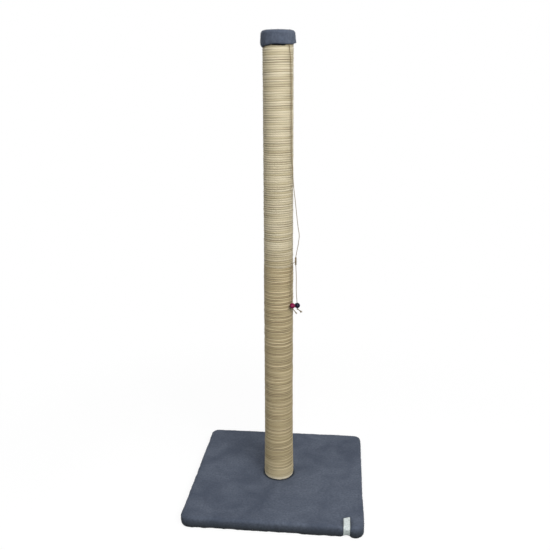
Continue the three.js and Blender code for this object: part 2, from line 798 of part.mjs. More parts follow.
function addCap(parent) {
  const cap = group(parent, postTop);
  piece(cap, 'top_disc', makeTopDisc(), finishes.board);
  piece(cap, 'cap_cover', makeCapCover(), finishes.plush);
  const beside = group(cap);
  beside.rotation.z = toyTurn;
  piece(beside, 'twine_staple', twineStaple(0), finishes.steel);
  const held = tube(heldTwineCurve(0), TWINE_RADIUS, TWINE_SIDES, 14);
  piece(beside, 'held_twine', held, finishes.twine);
}

function addBead(parent, name, run, material) {
  const mesh = piece(parent, name, makeBead(), material);
  mesh.position.copy(beadCentre(run));
  mesh.quaternion.setFromUnitVectors(new THREE.Vector3(0, 0, -1), runDirection(run));
}

function addToy(parent) {
  const beside = group(parent, twineExit);
  beside.rotation.z = toyTurn;
  const toy = group(beside);
  toy.position.x = ropeRadius;

  const hangerShare = HANGER_LENGTH / mainLength;
  const mainShare = (HANGER_LENGTH + HINGE_GAP) / mainLength;
  const knotDepth = MAIN_ROUTE[MAIN_ROUTE.length - 1];
  const hanger = tube(new Stretch(mainCurve, 0, hangerShare), TWINE_RADIUS, TWINE_SIDES, 6);
  const main = tube(new Stretch(mainCurve, mainShare, 1), TWINE_RADIUS, TWINE_SIDES, 50);
  piece(toy, 'toy_hanger', hanger, finishes.twine);
  piece(toy, 'toy_cord', main, finishes.twine);
  piece(toy, 'toy_knot', makeKnot(), finishes.twine).position
    .copy(routePoint(knotDepth))
    .add(new THREE.Vector3(0, 0, -FIT_GAP - KNOT_LENGTH / 2));

  const left = tube(strandCurve(LEFT_ROUTE, LEFT_RUN), TWINE_RADIUS, TWINE_SIDES, 14);
  const right = tube(strandCurve(RIGHT_ROUTE, RIGHT_RUN), TWINE_RADIUS, TWINE_SIDES, 10);
  piece(toy, 'left_strand', left, finishes.twine);
  piece(toy, 'right_strand', right, finishes.twine);
  addBead(toy, 'magenta_bead', LEFT_RUN, finishes.magentaBead);
  addBead(toy, 'navy_bead', RIGHT_RUN, finishes.navyBead);
  piece(toy, 'left_end_knot', makeEndKnot(LEFT_RUN, LEFT_TAIL), finishes.twine);
  piece(toy, 'right_end_knot', makeEndKnot(RIGHT_RUN, RIGHT_TAIL), finishes.twine);
}

const post = new THREE.Group();
addBase(post);
addLowerSection(post);
const stud = rod(BOLT_RADIUS, -STUD_LENGTH / 2, STUD_LENGTH / 2, SMALL_SEGMENTS);
piece(post, 'joining_stud', stud, finishes.steel).position.z = sectionJoint;
addUpperSection(post);
addCap(post);
addToy(post);

export default post;
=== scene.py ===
"""Looks of a rope-wound cat scratching post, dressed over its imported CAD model.

Metres, +Z up, the origin in the middle of the square base on the floor. Sizes that describe
the real object are written in millimetres, times MM.
"""

import math

import bpy
import numpy as np
from mathutils import Matrix, Vector, noise
from mathutils.bvhtree import BVHTree


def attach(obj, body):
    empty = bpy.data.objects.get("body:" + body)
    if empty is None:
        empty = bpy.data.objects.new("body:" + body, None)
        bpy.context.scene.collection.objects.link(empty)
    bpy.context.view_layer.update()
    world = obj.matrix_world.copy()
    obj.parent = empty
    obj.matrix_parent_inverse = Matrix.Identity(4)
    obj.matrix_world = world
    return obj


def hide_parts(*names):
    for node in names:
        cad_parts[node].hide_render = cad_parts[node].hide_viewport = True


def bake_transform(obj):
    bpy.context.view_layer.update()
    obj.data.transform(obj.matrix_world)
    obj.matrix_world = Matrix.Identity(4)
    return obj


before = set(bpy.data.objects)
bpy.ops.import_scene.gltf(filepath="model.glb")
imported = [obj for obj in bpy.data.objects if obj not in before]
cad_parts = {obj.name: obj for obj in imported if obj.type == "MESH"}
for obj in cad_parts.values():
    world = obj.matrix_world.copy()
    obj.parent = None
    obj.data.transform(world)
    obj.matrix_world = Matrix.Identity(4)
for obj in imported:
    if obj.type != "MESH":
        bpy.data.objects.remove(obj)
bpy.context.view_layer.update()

MM = 0.001

# ---------------------------------------------------------------------------
# Sizes of the object, as its CAD has them
# ---------------------------------------------------------------------------

ROPE_BORE = 29.3 * MM
ROPE_RADIUS = 34.0 * MM
LOWER_FOOT = 28.3 * MM
LOWER_LENGTH = 538.5 * MM
LOWER_PITCH = 4.13 * MM
UPPER_FOOT = 567.1 * MM
UPPER_LENGTH = 498.0 * MM
UPPER_PITCH = 4.93 * MM
POST_TOP = 1071.1 * MM

COVER_HALF = 206.5 * MM  # out to the tips of the pile
COVER_TOP = 28.0 * MM
COVER_ROUND = 8.0 * MM
COVER_CORNER = 19.0 * MM
HEM_HALF = 165.0 * MM
BOLT_HOLE = 4.8 * MM

LABEL_X = 170.0 * MM
LABEL_WIDTH = 15.0 * MM
LABEL_TOP_END = -172.0 * MM
LABEL_UNDER_END = -185.0 * MM

TOY_ANGLE = math.radians(-47.5)
TWINE_EXIT = 1045.5 * MM
TWINE = 1.5 * MM
KNOT_HALF = 10.0 * MM
BEAD_RADIUS = 6.5 * MM  # a little fuller than the CAD's, as the photograph shows them
BEAD_BORE = 1.3 * MM

# ---------------------------------------------------------------------------
# Camera, from the photograph's perspective
# ---------------------------------------------------------------------------

CAMERA_PLACE = (0.14897, -1.51211, 0.96985)
CAMERA_TURN = (0.10359, 0.2742, -0.00371)  # yaw, pitch and roll, in radians
CAMERA_LENS = 44.70735  # in mm
SENSOR_WIDTH = 36.0  # in mm


def place_camera():
    """The photograph's camera."""
    yaw, pitch, roll = CAMERA_TURN
    flat = math.cos(pitch)
    forward = Vector((-math.sin(yaw) * flat, math.cos(yaw) * flat, -math.sin(pitch)))
    level = Vector((math.cos(yaw), math.sin(yaw), 0.0))
    rise = level.cross(forward)
    right = math.cos(roll) * level + math.sin(roll) * rise
    up = math.cos(roll) * rise - math.sin(roll) * level
    data = bpy.data.cameras.new("photo_camera")
    data.sensor_width = SENSOR_WIDTH
    data.lens = CAMERA_LENS
    data.clip_start = 0.05
    data.clip_end = 50.0
    camera = bpy.data.objects.new("photo_camera", data)
    turn = Matrix((right, up, -forward)).transposed()
    camera.matrix_world = Matrix.Translation(CAMERA_PLACE) @ turn.to_4x4()
    bpy.context.scene.collection.objects.link(camera)
    bpy.context.scene.camera = camera


place_camera()

# ---------------------------------------------------------------------------
# Small helpers
# ---------------------------------------------------------------------------

MATH = "ShaderNodeMath"
VECTOR = "ShaderNodeVectorMath"
COMBINE = "ShaderNodeCombineXYZ"
SPLIT = "ShaderNodeSeparateXYZ"
RANGE = "ShaderNodeMapRange"
NOISE = "ShaderNodeTexNoise"
MIX = "ShaderNodeMix"
BUMP = "ShaderNodeBump"
PRINCIPLED = "ShaderNodeBsdfPrincipled"
OUTPUT = "ShaderNodeOutputMaterial"


def add(tree, kind, inputs=None, **settings):
    """Adds a node with its settings, and sets or links its inputs."""
    node = tree.nodes.new(kind)
    for name, value in settings.items():
        setattr(node, name, value)
    for key, value in (inputs or {}).items():
        if isinstance(value, bpy.types.Node):
            value = value.outputs[0]
        if isinstance(value, bpy.types.NodeSocket):
            tree.links.new(value, node.inputs[key])
        else:
            node.inputs[key].default_value = value
    return node


def linear(code):
    """An sRGB hex colour as linear RGBA."""
    channels = [int(code[i : i + 2], 16) / 255 for i in (1, 3, 5)]
    return (*[c / 12.92 if c <= 0.04045 else ((c + 0.055) / 1.055) ** 2.4 for c in channels], 1.0)


def new_material(name):
    """A material without nodes, and its node tree."""
    material = bpy.data.materials.new(name)
    material.use_nodes = True
    material.node_tree.nodes.clear()
    return material, material.node_tree


def mesh_piece(name, points, faces, material, uv=None):
    """A smooth-shaded mesh object at the origin. uv has one (u, v) for each face corner."""
    mesh = bpy.data.meshes.new(name)
    mesh.from_pydata([tuple(p) for p in points], [], [tuple(f) for f in faces])
    mesh.shade_smooth()
    if uv is not None:
        layer = mesh.uv_layers.new(name="along")
        layer.data.foreach_set("uv", np.asarray(uv, np.float32).ravel())
    mesh.materials.append(material)
    piece = bpy.data.objects.new(name, mesh)
    bpy.context.scene.collection.objects.link(piece)
    return piece


def smoothstep(x, low, high):
    """0 below low, 1 above high, and a smooth rise between them."""
    t = np.clip((x - low) / (high - low), 0, 1)
    return t * t * (3 - 2 * t)


def run_along(line):
    """How far along the line each of its points is."""
    return np.concatenate([[0], np.cumsum(np.linalg.norm(np.diff(line, axis=0), axis=1))])


def grid_faces(rows, columns):
    """Quads of a rows x columns grid of points."""
    i, j = np.meshgrid(np.arange(rows - 1), np.arange(columns - 1), indexing="ij")
    a = (i * columns + j).ravel()
    return np.stack([a, a + columns, a + columns + 1, a + 1], axis=1)


def grid_rim(rows, columns):
    """The points round the edge of such a grid, in order, from its first row on."""
    rim = [(0, k) for k in range(columns)] + [(k, columns - 1) for k in range(1, rows)]
    rim += [(rows - 1, k) for k in range(columns - 2, -1, -1)] + [(k, 0) for k in range(rows - 2, 0, -1)]
    return [i * columns + j for i, j in rim]


def wall(loop, count):
    """Quads from a closed loop of points to the same loop, count places further on."""
    return [(p, p + count, q + count, q) for p, q in zip(loop, loop[1:] + loop[:1])]


def ring_faces(rings, segments, closed=False):
    """Quads between rings of points. closed joins the last ring to the first."""
    faces = []
    for i in range(rings if closed else rings - 1):
        j = (i + 1) % rings
        for k in range(segments):
            m = (k + 1) % segments
            faces.append((i * segments + k, j * segments + k, j * segments + m, i * segments + m))
    return faces


# ---------------------------------------------------------------------------
# Twine: routes in mm, (off the rope's surface, sideways, down from the hem). The hanging and the
# held stretch are the CAD's, and the two strands and their tails lie a little off it, as the
# photograph shows them.
# ---------------------------------------------------------------------------

MAIN_ROUTE = [
    (1.6, 2.5, 0), (1.7, 4.6, 16), (1.8, 6.3, 31), (1.9, 7.0, 50), (2.0, 7.5, 68), (2.2, 7.8, 110),
    (2.3, 7.6, 152), (2.5, 7.8, 190), (2.6, 8.6, 227), (2.8, 11.2, 256), (3.0, 14.4, 295),
    (3.2, 18.8, 327), (3.5, 23.1, 361), (3.9, 27.3, 391), (4.2, 29.9, 407), (4.5, 27.4, 425),
    (4.8, 22.8, 443), (5.0, 19.8, 455),
]
LEFT_ROUTE = [
    (5.0, 16.1, 467.5), (5.0, 12.4, 468.8), (5.1, 9.6, 472.5), (5.3, 7.9, 479), (5.5, 6.9, 488),
    (5.9, 5.8, 501), (6.3, 5.1, 516), (6.6, 4.8, 531),
]
LEFT_RUN = [(6.9, 5.5, 542.6), (7.8, 9.1, 575.0)]
LEFT_TAIL = [(8.1, 13.2, 580.8), (8.3, 15.8, 584.4), (8.5, 18.2, 587.6)]
RIGHT_ROUTE = [(5.0, 20.0, 476.2), (5.1, 20.4, 485), (5.7, 20.8, 500), (6.3, 20.5, 516), (6.8, 20.0, 529)]
RIGHT_RUN = [(7.2, 20.2, 540.7), (8.8, 22.2, 576.8)]
RIGHT_TAIL = [(9.0, 25.6, 581.4), (9.1, 29.0, 584.3), (9.2, 32.2, 587.0)]
HELD_ROUTE = [
    (-20, 2.5, -26.75), (-13, 2.5, -26.8), (-6.5, 2.5, -27.0), (-3.2, 2.5, -26.6), (-0.7, 2.5, -24.4),
    (0.95, 2.5, -21.4), (1.3, 2.5, -16.6), (1.4, 2.5, -9.6), (1.6, 2.5, 0),
]


def beside_post(point):
    """Where a route's point is, in metres."""
    off, side, down = point
    reach = ROPE_RADIUS + off * MM
    cos, sin = math.cos(TOY_ANGLE), math.sin(TOY_ANGLE)
    return np.array([reach * cos - side * MM * sin, reach * sin + side * MM * cos, TWINE_EXIT - down * MM])


def through(points, spacing=0.45 * MM):
    """The centripetal Catmull-Rom curve through the points, as evenly spaced points."""
    knots = [np.asarray(p, float) for p in points]
    knots = [2 * knots[0] - knots[1], *knots, 2 * knots[-1] - knots[-2]]
    line = []
    t = np.linspace(0, 1, 40, endpoint=False)[:, None]
    for p0, p1, p2, p3 in zip(knots, knots[1:], knots[2:], knots[3:]):
        d0, d1, d2 = (max(np.linalg.norm(b - a) ** 0.5, 1e-6) for a, b in ((p0, p1), (p1, p2), (p2, p3)))
        m1 = ((p1 - p0) / d0 - (p2 - p0) / (d0 + d1) + (p2 - p1) / d1) * d1
        m2 = ((p2 - p1) / d1 - (p3 - p1) / (d1 + d2) + (p3 - p2) / d2) * d1
        line.append(p1 + m1 * t + (3 * (p2 - p1) - 2 * m1 - m2) * t**2 + (2 * (p1 - p2) + m1 + m2) * t**3)
    line = np.vstack([*line, knots[-2][None]])
    run = run_along(line)
    even = np.linspace(0, run[-1], max(3, int(round(run[-1] / spacing)) + 1))
    return np.stack([np.interp(even, run, line[:, k]) for k in range(3)], axis=1)


def strand_line(route, run):
    """A strand from the knot to its end knot. Its last run is straight, for the bead to slide on."""
    start, end = (beside_post(p) for p in run)
    straight = [start + (end - start) * share for share in (0, 0.25, 0.5, 0.75, 1)]
    return through([*[beside_post(p) for p in route], *straight])


def end_of(run):
    """Where a strand's straight run ends, and the direction down along it."""
    start, end = (beside_post(p) for p in run)
    return end, (end - start) / np.linalg.norm(end - start)


def frames_along(line):
    """The line's own direction at each point and two across it, turned as little as possible."""
    forward = np.gradient(line, axis=0)
    forward /= np.linalg.norm(forward, axis=1)[:, None]
    across = np.zeros_like(line)
    seed = np.array([0.0, 0.0, 1.0]) if abs(forward[0][2]) < 0.9 else np.array([1.0, 0.0, 0.0])
    for i, direction in enumerate(forward):
        seed = seed - direction * (seed @ direction)
        seed /= np.linalg.norm(seed)
        across[i] = seed
    return forward, across, np.cross(forward, across)


PLIES = 3
LAY = 5.2 * MM  # one full turn of the plies round the twine


def twisted(line, diameter, sides=12, lay=LAY):
    """Points, faces and UVs of a twisted twine with three plies and rounded ends."""
    forward, across, up = frames_along(line)
    run = run_along(line)
    radius = diameter / 2
    angles = 2 * np.pi * np.arange(sides) / sides
    rings, along = [], []

    def ring(centre, i, at, scale):
        turn = 2 * np.pi * at / lay
        bulge = np.abs(np.cos(PLIES / 2 * (angles - turn)))
        r = radius * scale * (0.78 + 0.27 * bulge)
        spokes = np.outer(np.cos(angles) * r, across[i]) + np.outer(np.sin(angles) * r, up[i])
        rings.append(centre + spokes)
        along.append(at)

    for share in (0.1, 0.45, 0.8):
        back = radius * math.sqrt(1 - share**2)
        ring(line[0] - forward[0] * back, 0, -back, share)
    for i, point in enumerate(line):
        ring(point, i, run[i], 1.0)
    for share in (0.8, 0.45, 0.1):
        on = radius * math.sqrt(1 - share**2)
        ring(line[-1] + forward[-1] * on, -1, run[-1] + on, share)

    points = np.vstack(rings)
    faces, uv = [], []
    for i in range(len(rings) - 1):
        for j in range(sides):
            k = (j + 1) % sides
            faces.append((i * sides + j, i * sides + k, (i + 1) * sides + k, (i + 1) * sides + j))
            for row, column in ((i, j), (i, j + 1), (i + 1, j + 1), (i + 1, j)):
                uv.append((along[row], column / sides))
    start, end = len(points), len(points) + 1
    points = np.vstack([points, rings[0].mean(0), rings[-1].mean(0)])
    last = (len(rings) - 1) * sides
    for j in range(sides):
        k = (j + 1) % sides
        faces.append((start, k, j))
        faces.append((end, last + j, last + k))
        uv += [(along[0], j / sides)] * 3 + [(along[-1], j / sides)] * 3
    return points, faces, uv


def joined(parts):
    """Several (points, faces, uv) as one."""
    points, faces, uv, count = [], [], [], 0
    for part_points, part_faces, part_uv in parts:
        points.append(part_points)
        faces += [tuple(index + count for index in face) for face in part_faces]
        uv += part_uv
        count += len(part_points)
    return np.vstack(points), faces, uv


# ---------------------------------------------------------------------------
# Materials
# ---------------------------------------------------------------------------


def plush():
    """Short-pile polyester plush: no gloss, a faint sheen at grazing angles, and pale and dark
    patches where the pile has been brushed one way or the other. Along the floor, beside the
    ribbon and round the post's foot it is darkened with painted shade."""
    material, tree = new_material("polyester_plush")
    place = add(tree, "ShaderNodeTexCoord").outputs["Object"]
    brushed = add(tree, NOISE, {"Vector": place, "Scale": 16.0, "Detail": 3.0, "Distortion": 0.6})
    brushed_more = add(tree, RANGE, {"Value": brushed, 1: 0.33, 2: 0.67})
    tufts = add(tree, NOISE, {"Vector": place, "Scale": 210.0, "Detail": 3.0})
    fibres = add(tree, NOISE, {"Vector": place, "Scale": 900.0, "Detail": 2.0})
    body = add(
        tree, MIX,
        {"Factor": brushed_more, 6: linear("#4b5363"), 7: linear("#626a79")}, data_type="RGBA",
    )
    mottle = add(tree, RANGE, {"Value": tufts, 1: 0.3, 2: 0.7, 3: 0.0, 4: 0.55})
    speckled = add(
        tree, MIX, {"Factor": mottle, 6: body.outputs[2], 7: linear("#3a404b")}, data_type="RGBA",
    )
    tips = add(tree, RANGE, {"Value": fibres, 1: 0.5, 2: 0.75, 3: 0.0, 4: 0.4})
    tipped = add(
        tree, MIX, {"Factor": tips, 6: speckled.outputs[2], 7: linear("#6a717e")}, data_type="RGBA",
    )
    height = add(tree, SPLIT, {0: place}).outputs["Z"]
    # painted shade: darker towards the floor
    painted_floor_shade = add(tree, RANGE, {"Value": height, 1: 2 * MM, 2: 27 * MM, 3: 1.0, 4: 0.0})
    flat_place = add(tree, VECTOR, {0: place, 1: (1.0, 1.0, 0.0)}, operation="MULTIPLY")
    reach = add(tree, VECTOR, {0: flat_place}, operation="LENGTH").outputs["Value"]
    # painted shadow round the post's foot, near the floor only
    near_post_foot = add(tree, RANGE, {"Value": reach, 1: 37 * MM, 2: 41 * MM, 3: 0.75, 4: 0.0})
    low = add(tree, MATH, {0: height, 1: 40 * MM}, operation="LESS_THAN")
    painted_shadow_by_post = add(tree, MATH, {0: near_post_foot, 1: low}, operation="MULTIPLY")
    painted_shade_low = add(tree, MATH, {0: painted_floor_shade, 1: painted_shadow_by_post}, operation="MAXIMUM")
    # painted shade beside the ribbon
    from_ribbon = add(tree, VECTOR, {0: flat_place, 1: (LABEL_X, -192 * MM, 0.0)}, operation="SUBTRACT")
    ribbon_way = add(tree, VECTOR, {0: from_ribbon, 1: (1.0, 0.55, 0.0)}, operation="MULTIPLY")
    beside = add(tree, VECTOR, {0: ribbon_way}, operation="LENGTH").outputs["Value"]
    painted_ribbon_shade = add(tree, RANGE, {"Value": beside, 1: 8.5 * MM, 2: 16 * MM, 3: 0.55, 4: 0.0})
    painted_shade = add(tree, MATH, {0: painted_shade_low, 1: painted_ribbon_shade}, operation="MAXIMUM")
    # all the painted shade, mixed towards this dark colour
    with_painted_shade = add(
        tree, MIX, {"Factor": painted_shade, 6: tipped.outputs[2], 7: linear("#1e211e")}, data_type="RGBA",
    )
    pile = add(tree, BUMP, {"Height": tufts, "Strength": 0.55, "Distance": 1.2 * MM})
    nap = add(tree, BUMP, {"Height": fibres, "Strength": 0.5, "Distance": 0.4 * MM, "Normal": pile})
    shader = add(
        tree, PRINCIPLED,
        {
            "Base Color": with_painted_shade.outputs[2], "Roughness": 0.95, "Normal": nap, "Specular IOR Level": 0.15,
            "Sheen Weight": 0.25, "Sheen Roughness": 0.5, "Sheen Tint": linear("#a8b0c0"),
        },
    )
    add(tree, OUTPUT, {"Surface": shader})
    return material


def painted_hem_shade():
    """A black knitted strip that stands for the shade in the gap under the cap's hem: painted shade,
    matt black, with courses about 1 mm apart.
    """
    material, tree = new_material("painted_hem_shade")
    place = add(tree, "ShaderNodeTexCoord").outputs["Object"]
    height = add(tree, SPLIT, {0: place}).outputs["Z"]
    courses = add(tree, MATH, {0: height, 1: 2 * math.pi / MM}, operation="MULTIPLY")
    course = add(tree, MATH, {0: courses}, operation="SINE")
    lint = add(tree, NOISE, {"Vector": place, "Scale": 700.0, "Detail": 2.0})
    colour = add(tree, MIX, {"Factor": lint, 6: linear("#0b0c0e"), 7: linear("#22252a")}, data_type="RGBA")
    bump = add(tree, BUMP, {"Height": course, "Strength": 0.3, "Distance": 0.15 * MM})
    shader = add(
        tree, PRINCIPLED,
        {"Base Color": colour.outputs[2], "Roughness": 0.9, "Normal": bump, "Specular IOR Level": 0.15},
    )
    add(tree, OUTPUT, {"Surface": shader})
    return material


def sisal(name, pale, dark, gap, end_tone, foot, glued_to, pairing):
    """Natural fibre rope, three strands laid together: matt, with long fibres along each strand, a
    tone that changes from one stretch of a turn to the next, painted shade in thin dark lines,
    some open and some closed, where the turns meet, and painted shade in the valleys between the
    strands. Up to glued_to the rope is bleached by glue, and over the lowest 55 mm its tone nears
    end_tone. pairing is how far turns alternate in tone."""
    material, tree = new_material(name)
    uv = add(tree, "ShaderNodeUVMap", uv_map="winding")
    split = add(tree, SPLIT, {0: uv})
    along, over = split.outputs["X"], split.outputs["Y"]
    crests = add(tree, MATH, {0: along, 1: 1 / STRAND_SPACING}, operation="MULTIPLY")
    slant = add(tree, MATH, {0: over, 1: STRAND_SLANT, 2: crests}, operation="MULTIPLY_ADD")
    wave = add(tree, MATH, {0: slant, 1: math.pi}, operation="MULTIPLY")
    sine = add(tree, MATH, {0: wave}, operation="SINE")
    strand = add(tree, MATH, {0: sine}, operation="ABSOLUTE")

    # fibres along each strand, about 4 mm long and 0.6 mm apart, with finer ones between
    fibre_place = add(tree, COMBINE, {"X": along, "Y": slant})
    fibre_scale = add(tree, VECTOR, {0: fibre_place, 1: (240.0, 9.0, 1.0)}, operation="MULTIPLY")
    fibres = add(tree, NOISE, {"Vector": fibre_scale, "Scale": 1.0, "Detail": 4.0, "Roughness": 0.6})
    fibre_tone = add(tree, RANGE, {"Value": fibres, 1: 0.3, 2: 0.7})

    # stretches of about a turn, so that pale and dark turns tend to alternate
    stretch = add(tree, NOISE, {"W": along, "Scale": 4.4, "Detail": 0.6}, noise_dimensions="1D")
    stretch_tone = add(tree, RANGE, {"Value": stretch, 1: 0.41, 2: 0.59})
    drift = add(tree, MATH, {0: stretch, 1: 3.0}, operation="MULTIPLY")
    paired = add(tree, MATH, {0: along, 1: 0.5 / ROPE_RADIUS, 2: drift}, operation="MULTIPLY_ADD")
    turn_wave = add(tree, MATH, {0: paired}, operation="SINE")
    turn_tone = add(tree, RANGE, {"Value": turn_wave, 1: -0.8, 2: 0.8})
    fibre_part = add(tree, MATH, {0: fibre_tone, 1: 0.36}, operation="MULTIPLY")
    part = add(tree, MATH, {0: turn_tone, 1: pairing, 2: fibre_part}, operation="MULTIPLY_ADD")
    tone = add(tree, MATH, {0: stretch_tone, 1: 0.64 - pairing, 2: part}, operation="MULTIPLY_ADD")
    colour = add(tree, MIX, {"Factor": tone, 6: linear(dark), 7: linear(pale)}, data_type="RGBA")

    # the lines between turns, painted shade in the gap colour, open here and closed there
    later = add(tree, MATH, {0: along, 1: 31.0}, operation="ADD")
    slackness = add(tree, NOISE, {"W": later, "Scale": 5.3, "Detail": 0.6}, noise_dimensions="1D")
    open_here = add(tree, RANGE, {"Value": slackness, 1: 0.46, 2: 0.58, 3: 0.15, 4: 1.0})
    edge = add(tree, MATH, {0: over, 1: 0.5}, operation="SUBTRACT")
    far = add(tree, MATH, {0: edge}, operation="ABSOLUTE")
    line = add(tree, RANGE, {"Value": far, 1: 0.24, 2: 0.46, 3: 0.0, 4: 1.0})
    groove = add(tree, MATH, {0: line, 1: open_here}, operation="MULTIPLY")
    # painted shade in the valleys between the strands
    painted_valley_shade = add(tree, RANGE, {"Value": strand, 1: 0.0, 2: 0.4, 3: 0.25, 4: 0.0})
    shade = add(tree, MATH, {0: groove, 1: painted_valley_shade}, operation="MAXIMUM")
    shaded = add(tree, MIX, {"Factor": shade, 6: colour.outputs[2], 7: linear(gap)}, data_type="RGBA")

    place = add(tree, "ShaderNodeTexCoord").outputs["Object"]
    height = add(tree, SPLIT, {0: place}).outputs["Z"]
    near_end = add(tree, RANGE, {"Value": height, 1: foot, 2: foot + 55 * MM, 3: 0.32, 4: 0.0})
    toned = add(
        tree, MIX, {"Factor": near_end, 6: shaded.outputs[2], 7: linear(end_tone)}, data_type="RGBA"
    )
    glued = add(tree, RANGE, {"Value": height, 1: glued_to - 2 * MM, 2: glued_to + 2 * MM, 3: 0.85, 4: 0.0})
    finished = add(
        tree, MIX, {"Factor": glued, 6: toned.outputs[2], 7: linear("#e4dac0")}, data_type="RGBA"
    )
    lay = add(tree, BUMP, {"Height": strand, "Strength": 0.4, "Distance": 0.3 * MM})
    grain = add(tree, BUMP, {"Height": fibres, "Strength": 0.7, "Distance": 0.25 * MM, "Normal": lay})
    shader = add(
        tree, PRINCIPLED,
        {
            "Base Color": finished.outputs[2], "Roughness": 0.62, "Normal": grain, "Specular IOR Level": 0.4,
            "Sheen Weight": 0.1, "Sheen Roughness": 0.6, "Sheen Tint": linear("#e6dcc4"),
        },
    )
    add(tree, OUTPUT, {"Surface": shader})
    return material


def loose_fibre():
    """Single sisal fibres that stand off the rope: pale straw, slightly glossy, no two quite alike."""
    material, tree = new_material("sisal_fibre")
    place = add(tree, "ShaderNodeTexCoord").outputs["Object"]
    each = add(tree, NOISE, {"Vector": place, "Scale": 160.0, "Detail": 1.0})
    spread = add(tree, RANGE, {"Value": each, 1: 0.35, 2: 0.65})
    colour = add(
        tree, MIX, {"Factor": spread, 6: linear("#a8986f"), 7: linear("#e0d6b8")}, data_type="RGBA"
    )
    shader = add(
        tree, PRINCIPLED,
        {"Base Color": colour.outputs[2], "Roughness": 0.5, "Specular IOR Level": 0.45},
    )
    add(tree, OUTPUT, {"Surface": shader})
    return material


def jute_twine():
    """Three-ply natural twine: matt, fibrous, with painted shade in the valleys between the plies."""
    material, tree = new_material("jute_twine")
    uv = add(tree, "ShaderNodeUVMap", uv_map="along")
    split = add(tree, SPLIT, {0: uv})
    turn = add(tree, MATH, {0: split.outputs["X"], 1: -1 / LAY}, operation="MULTIPLY")
    phase = add(tree, MATH, {0: split.outputs["Y"], 1: turn}, operation="ADD")
    wave = add(tree, MATH, {0: phase, 1: math.pi * PLIES}, operation="MULTIPLY")
    cosine = add(tree, MATH, {0: wave}, operation="COSINE")
    ply = add(tree, MATH, {0: cosine}, operation="ABSOLUTE")
    fibre_place = add(tree, COMBINE, {"X": split.outputs["X"], "Y": phase})
    fibre_scale = add(tree, VECTOR, {0: fibre_place, 1: (400.0, 14.0, 1.0)}, operation="MULTIPLY")
    fibres = add(tree, NOISE, {"Vector": fibre_scale, "Scale": 1.0, "Detail": 4.0})
    colour = add(
        tree, MIX, {"Factor": fibres, 6: linear("#6d5d42"), 7: linear("#a99877")}, data_type="RGBA"
    )
    # painted shade in the valleys between the plies
    painted_valley_shade = add(tree, RANGE, {"Value": ply, 1: 0.0, 2: 0.5, 3: 0.75, 4: 0.0})
    shaded = add(
        tree, MIX, {"Factor": painted_valley_shade, 6: colour.outputs[2], 7: linear("#40341f")}, data_type="RGBA"
    )
    grain = add(tree, BUMP, {"Height": fibres, "Strength": 0.7, "Distance": 0.12 * MM})
    shader = add(
        tree, PRINCIPLED,
        {"Base Color": shaded.outputs[2], "Roughness": 0.85, "Normal": grain, "Specular IOR Level": 0.25},
    )
    add(tree, OUTPUT, {"Surface": shader})
    return material


def bead_acrylic(name, deep, bright):
    """Moulded acrylic bead, tumbled to a high gloss: deep colour with cloudy swirls under a clear skin."""
    material, tree = new_material(name)
    place = add(tree, "ShaderNodeTexCoord").outputs["Object"]
    swirl = add(tree, NOISE, {"Vector": place, "Scale": 160.0, "Detail": 3.0, "Distortion": 1.5})
    cloud = add(tree, RANGE, {"Value": swirl, 1: 0.35, 2: 0.7})
    colour = add(tree, MIX, {"Factor": cloud, 6: linear(deep), 7: linear(bright)}, data_type="RGBA")
    wear = add(tree, NOISE, {"Vector": place, "Scale": 900.0, "Detail": 2.0})
    rough = add(tree, RANGE, {"Value": wear, 1: 0.3, 2: 0.8, 3: 0.03, 4: 0.08})
    shader = add(
        tree, PRINCIPLED,
        {"Base Color": colour.outputs[2], "Roughness": rough, "IOR": 1.49, "Specular IOR Level": 0.15},
    )
    add(tree, OUTPUT, {"Surface": shader})
    return material


def woven_ribbon():
    """Polyester taffeta ribbon: ribs 0.7 mm apart across it, warp threads 0.5 mm apart, a little
    grime, and a greyer lower half, which is painted shade towards the floor."""
    material, tree = new_material("woven_polyester_ribbon")
    uv = add(tree, "ShaderNodeUVMap", uv_map="along")
    split = add(tree, SPLIT, {0: uv})
    ribs = add(tree, MATH, {0: split.outputs["X"], 1: 2 * math.pi / (0.7 * MM)}, operation="MULTIPLY")
    warp = add(tree, MATH, {0: split.outputs["Y"], 1: 2 * math.pi / (0.5 * MM)}, operation="MULTIPLY")
    rib = add(tree, MATH, {0: ribs}, operation="SINE")
    thread = add(tree, MATH, {0: warp}, operation="SINE")
    weave = add(tree, MATH, {0: rib, 1: thread}, operation="MULTIPLY")
    place = add(tree, "ShaderNodeTexCoord").outputs["Object"]
    soil = add(tree, NOISE, {"Vector": place, "Scale": 240.0, "Detail": 3.0})
    grime = add(tree, RANGE, {"Value": soil, 1: 0.42, 2: 0.66, 3: 0.0, 4: 0.75})
    height = add(tree, SPLIT, {0: place}).outputs["Z"]
    # painted shade: greyer towards the floor, mixed with the real grime
    painted_ribbon_floor_shade = add(tree, RANGE, {"Value": height, 1: 15 * MM, 2: 24 * MM, 3: 0.4, 4: 0.0})
    with_painted_shade = add(tree, MATH, {0: grime, 1: 0.7, 2: painted_ribbon_floor_shade}, operation="MULTIPLY_ADD")
    colour = add(
        tree, MIX, {"Factor": with_painted_shade, 6: linear("#dae2e1"), 7: linear("#98a5a2")}, data_type="RGBA"
    )
    bump = add(tree, BUMP, {"Height": weave, "Strength": 0.35, "Distance": 0.08 * MM})
    shader = add(
        tree, PRINCIPLED,
        {"Base Color": colour.outputs[2], "Roughness": 0.6, "Normal": bump, "Specular IOR Level": 0.4},
    )
    add(tree, OUTPUT, {"Surface": shader})
    return material


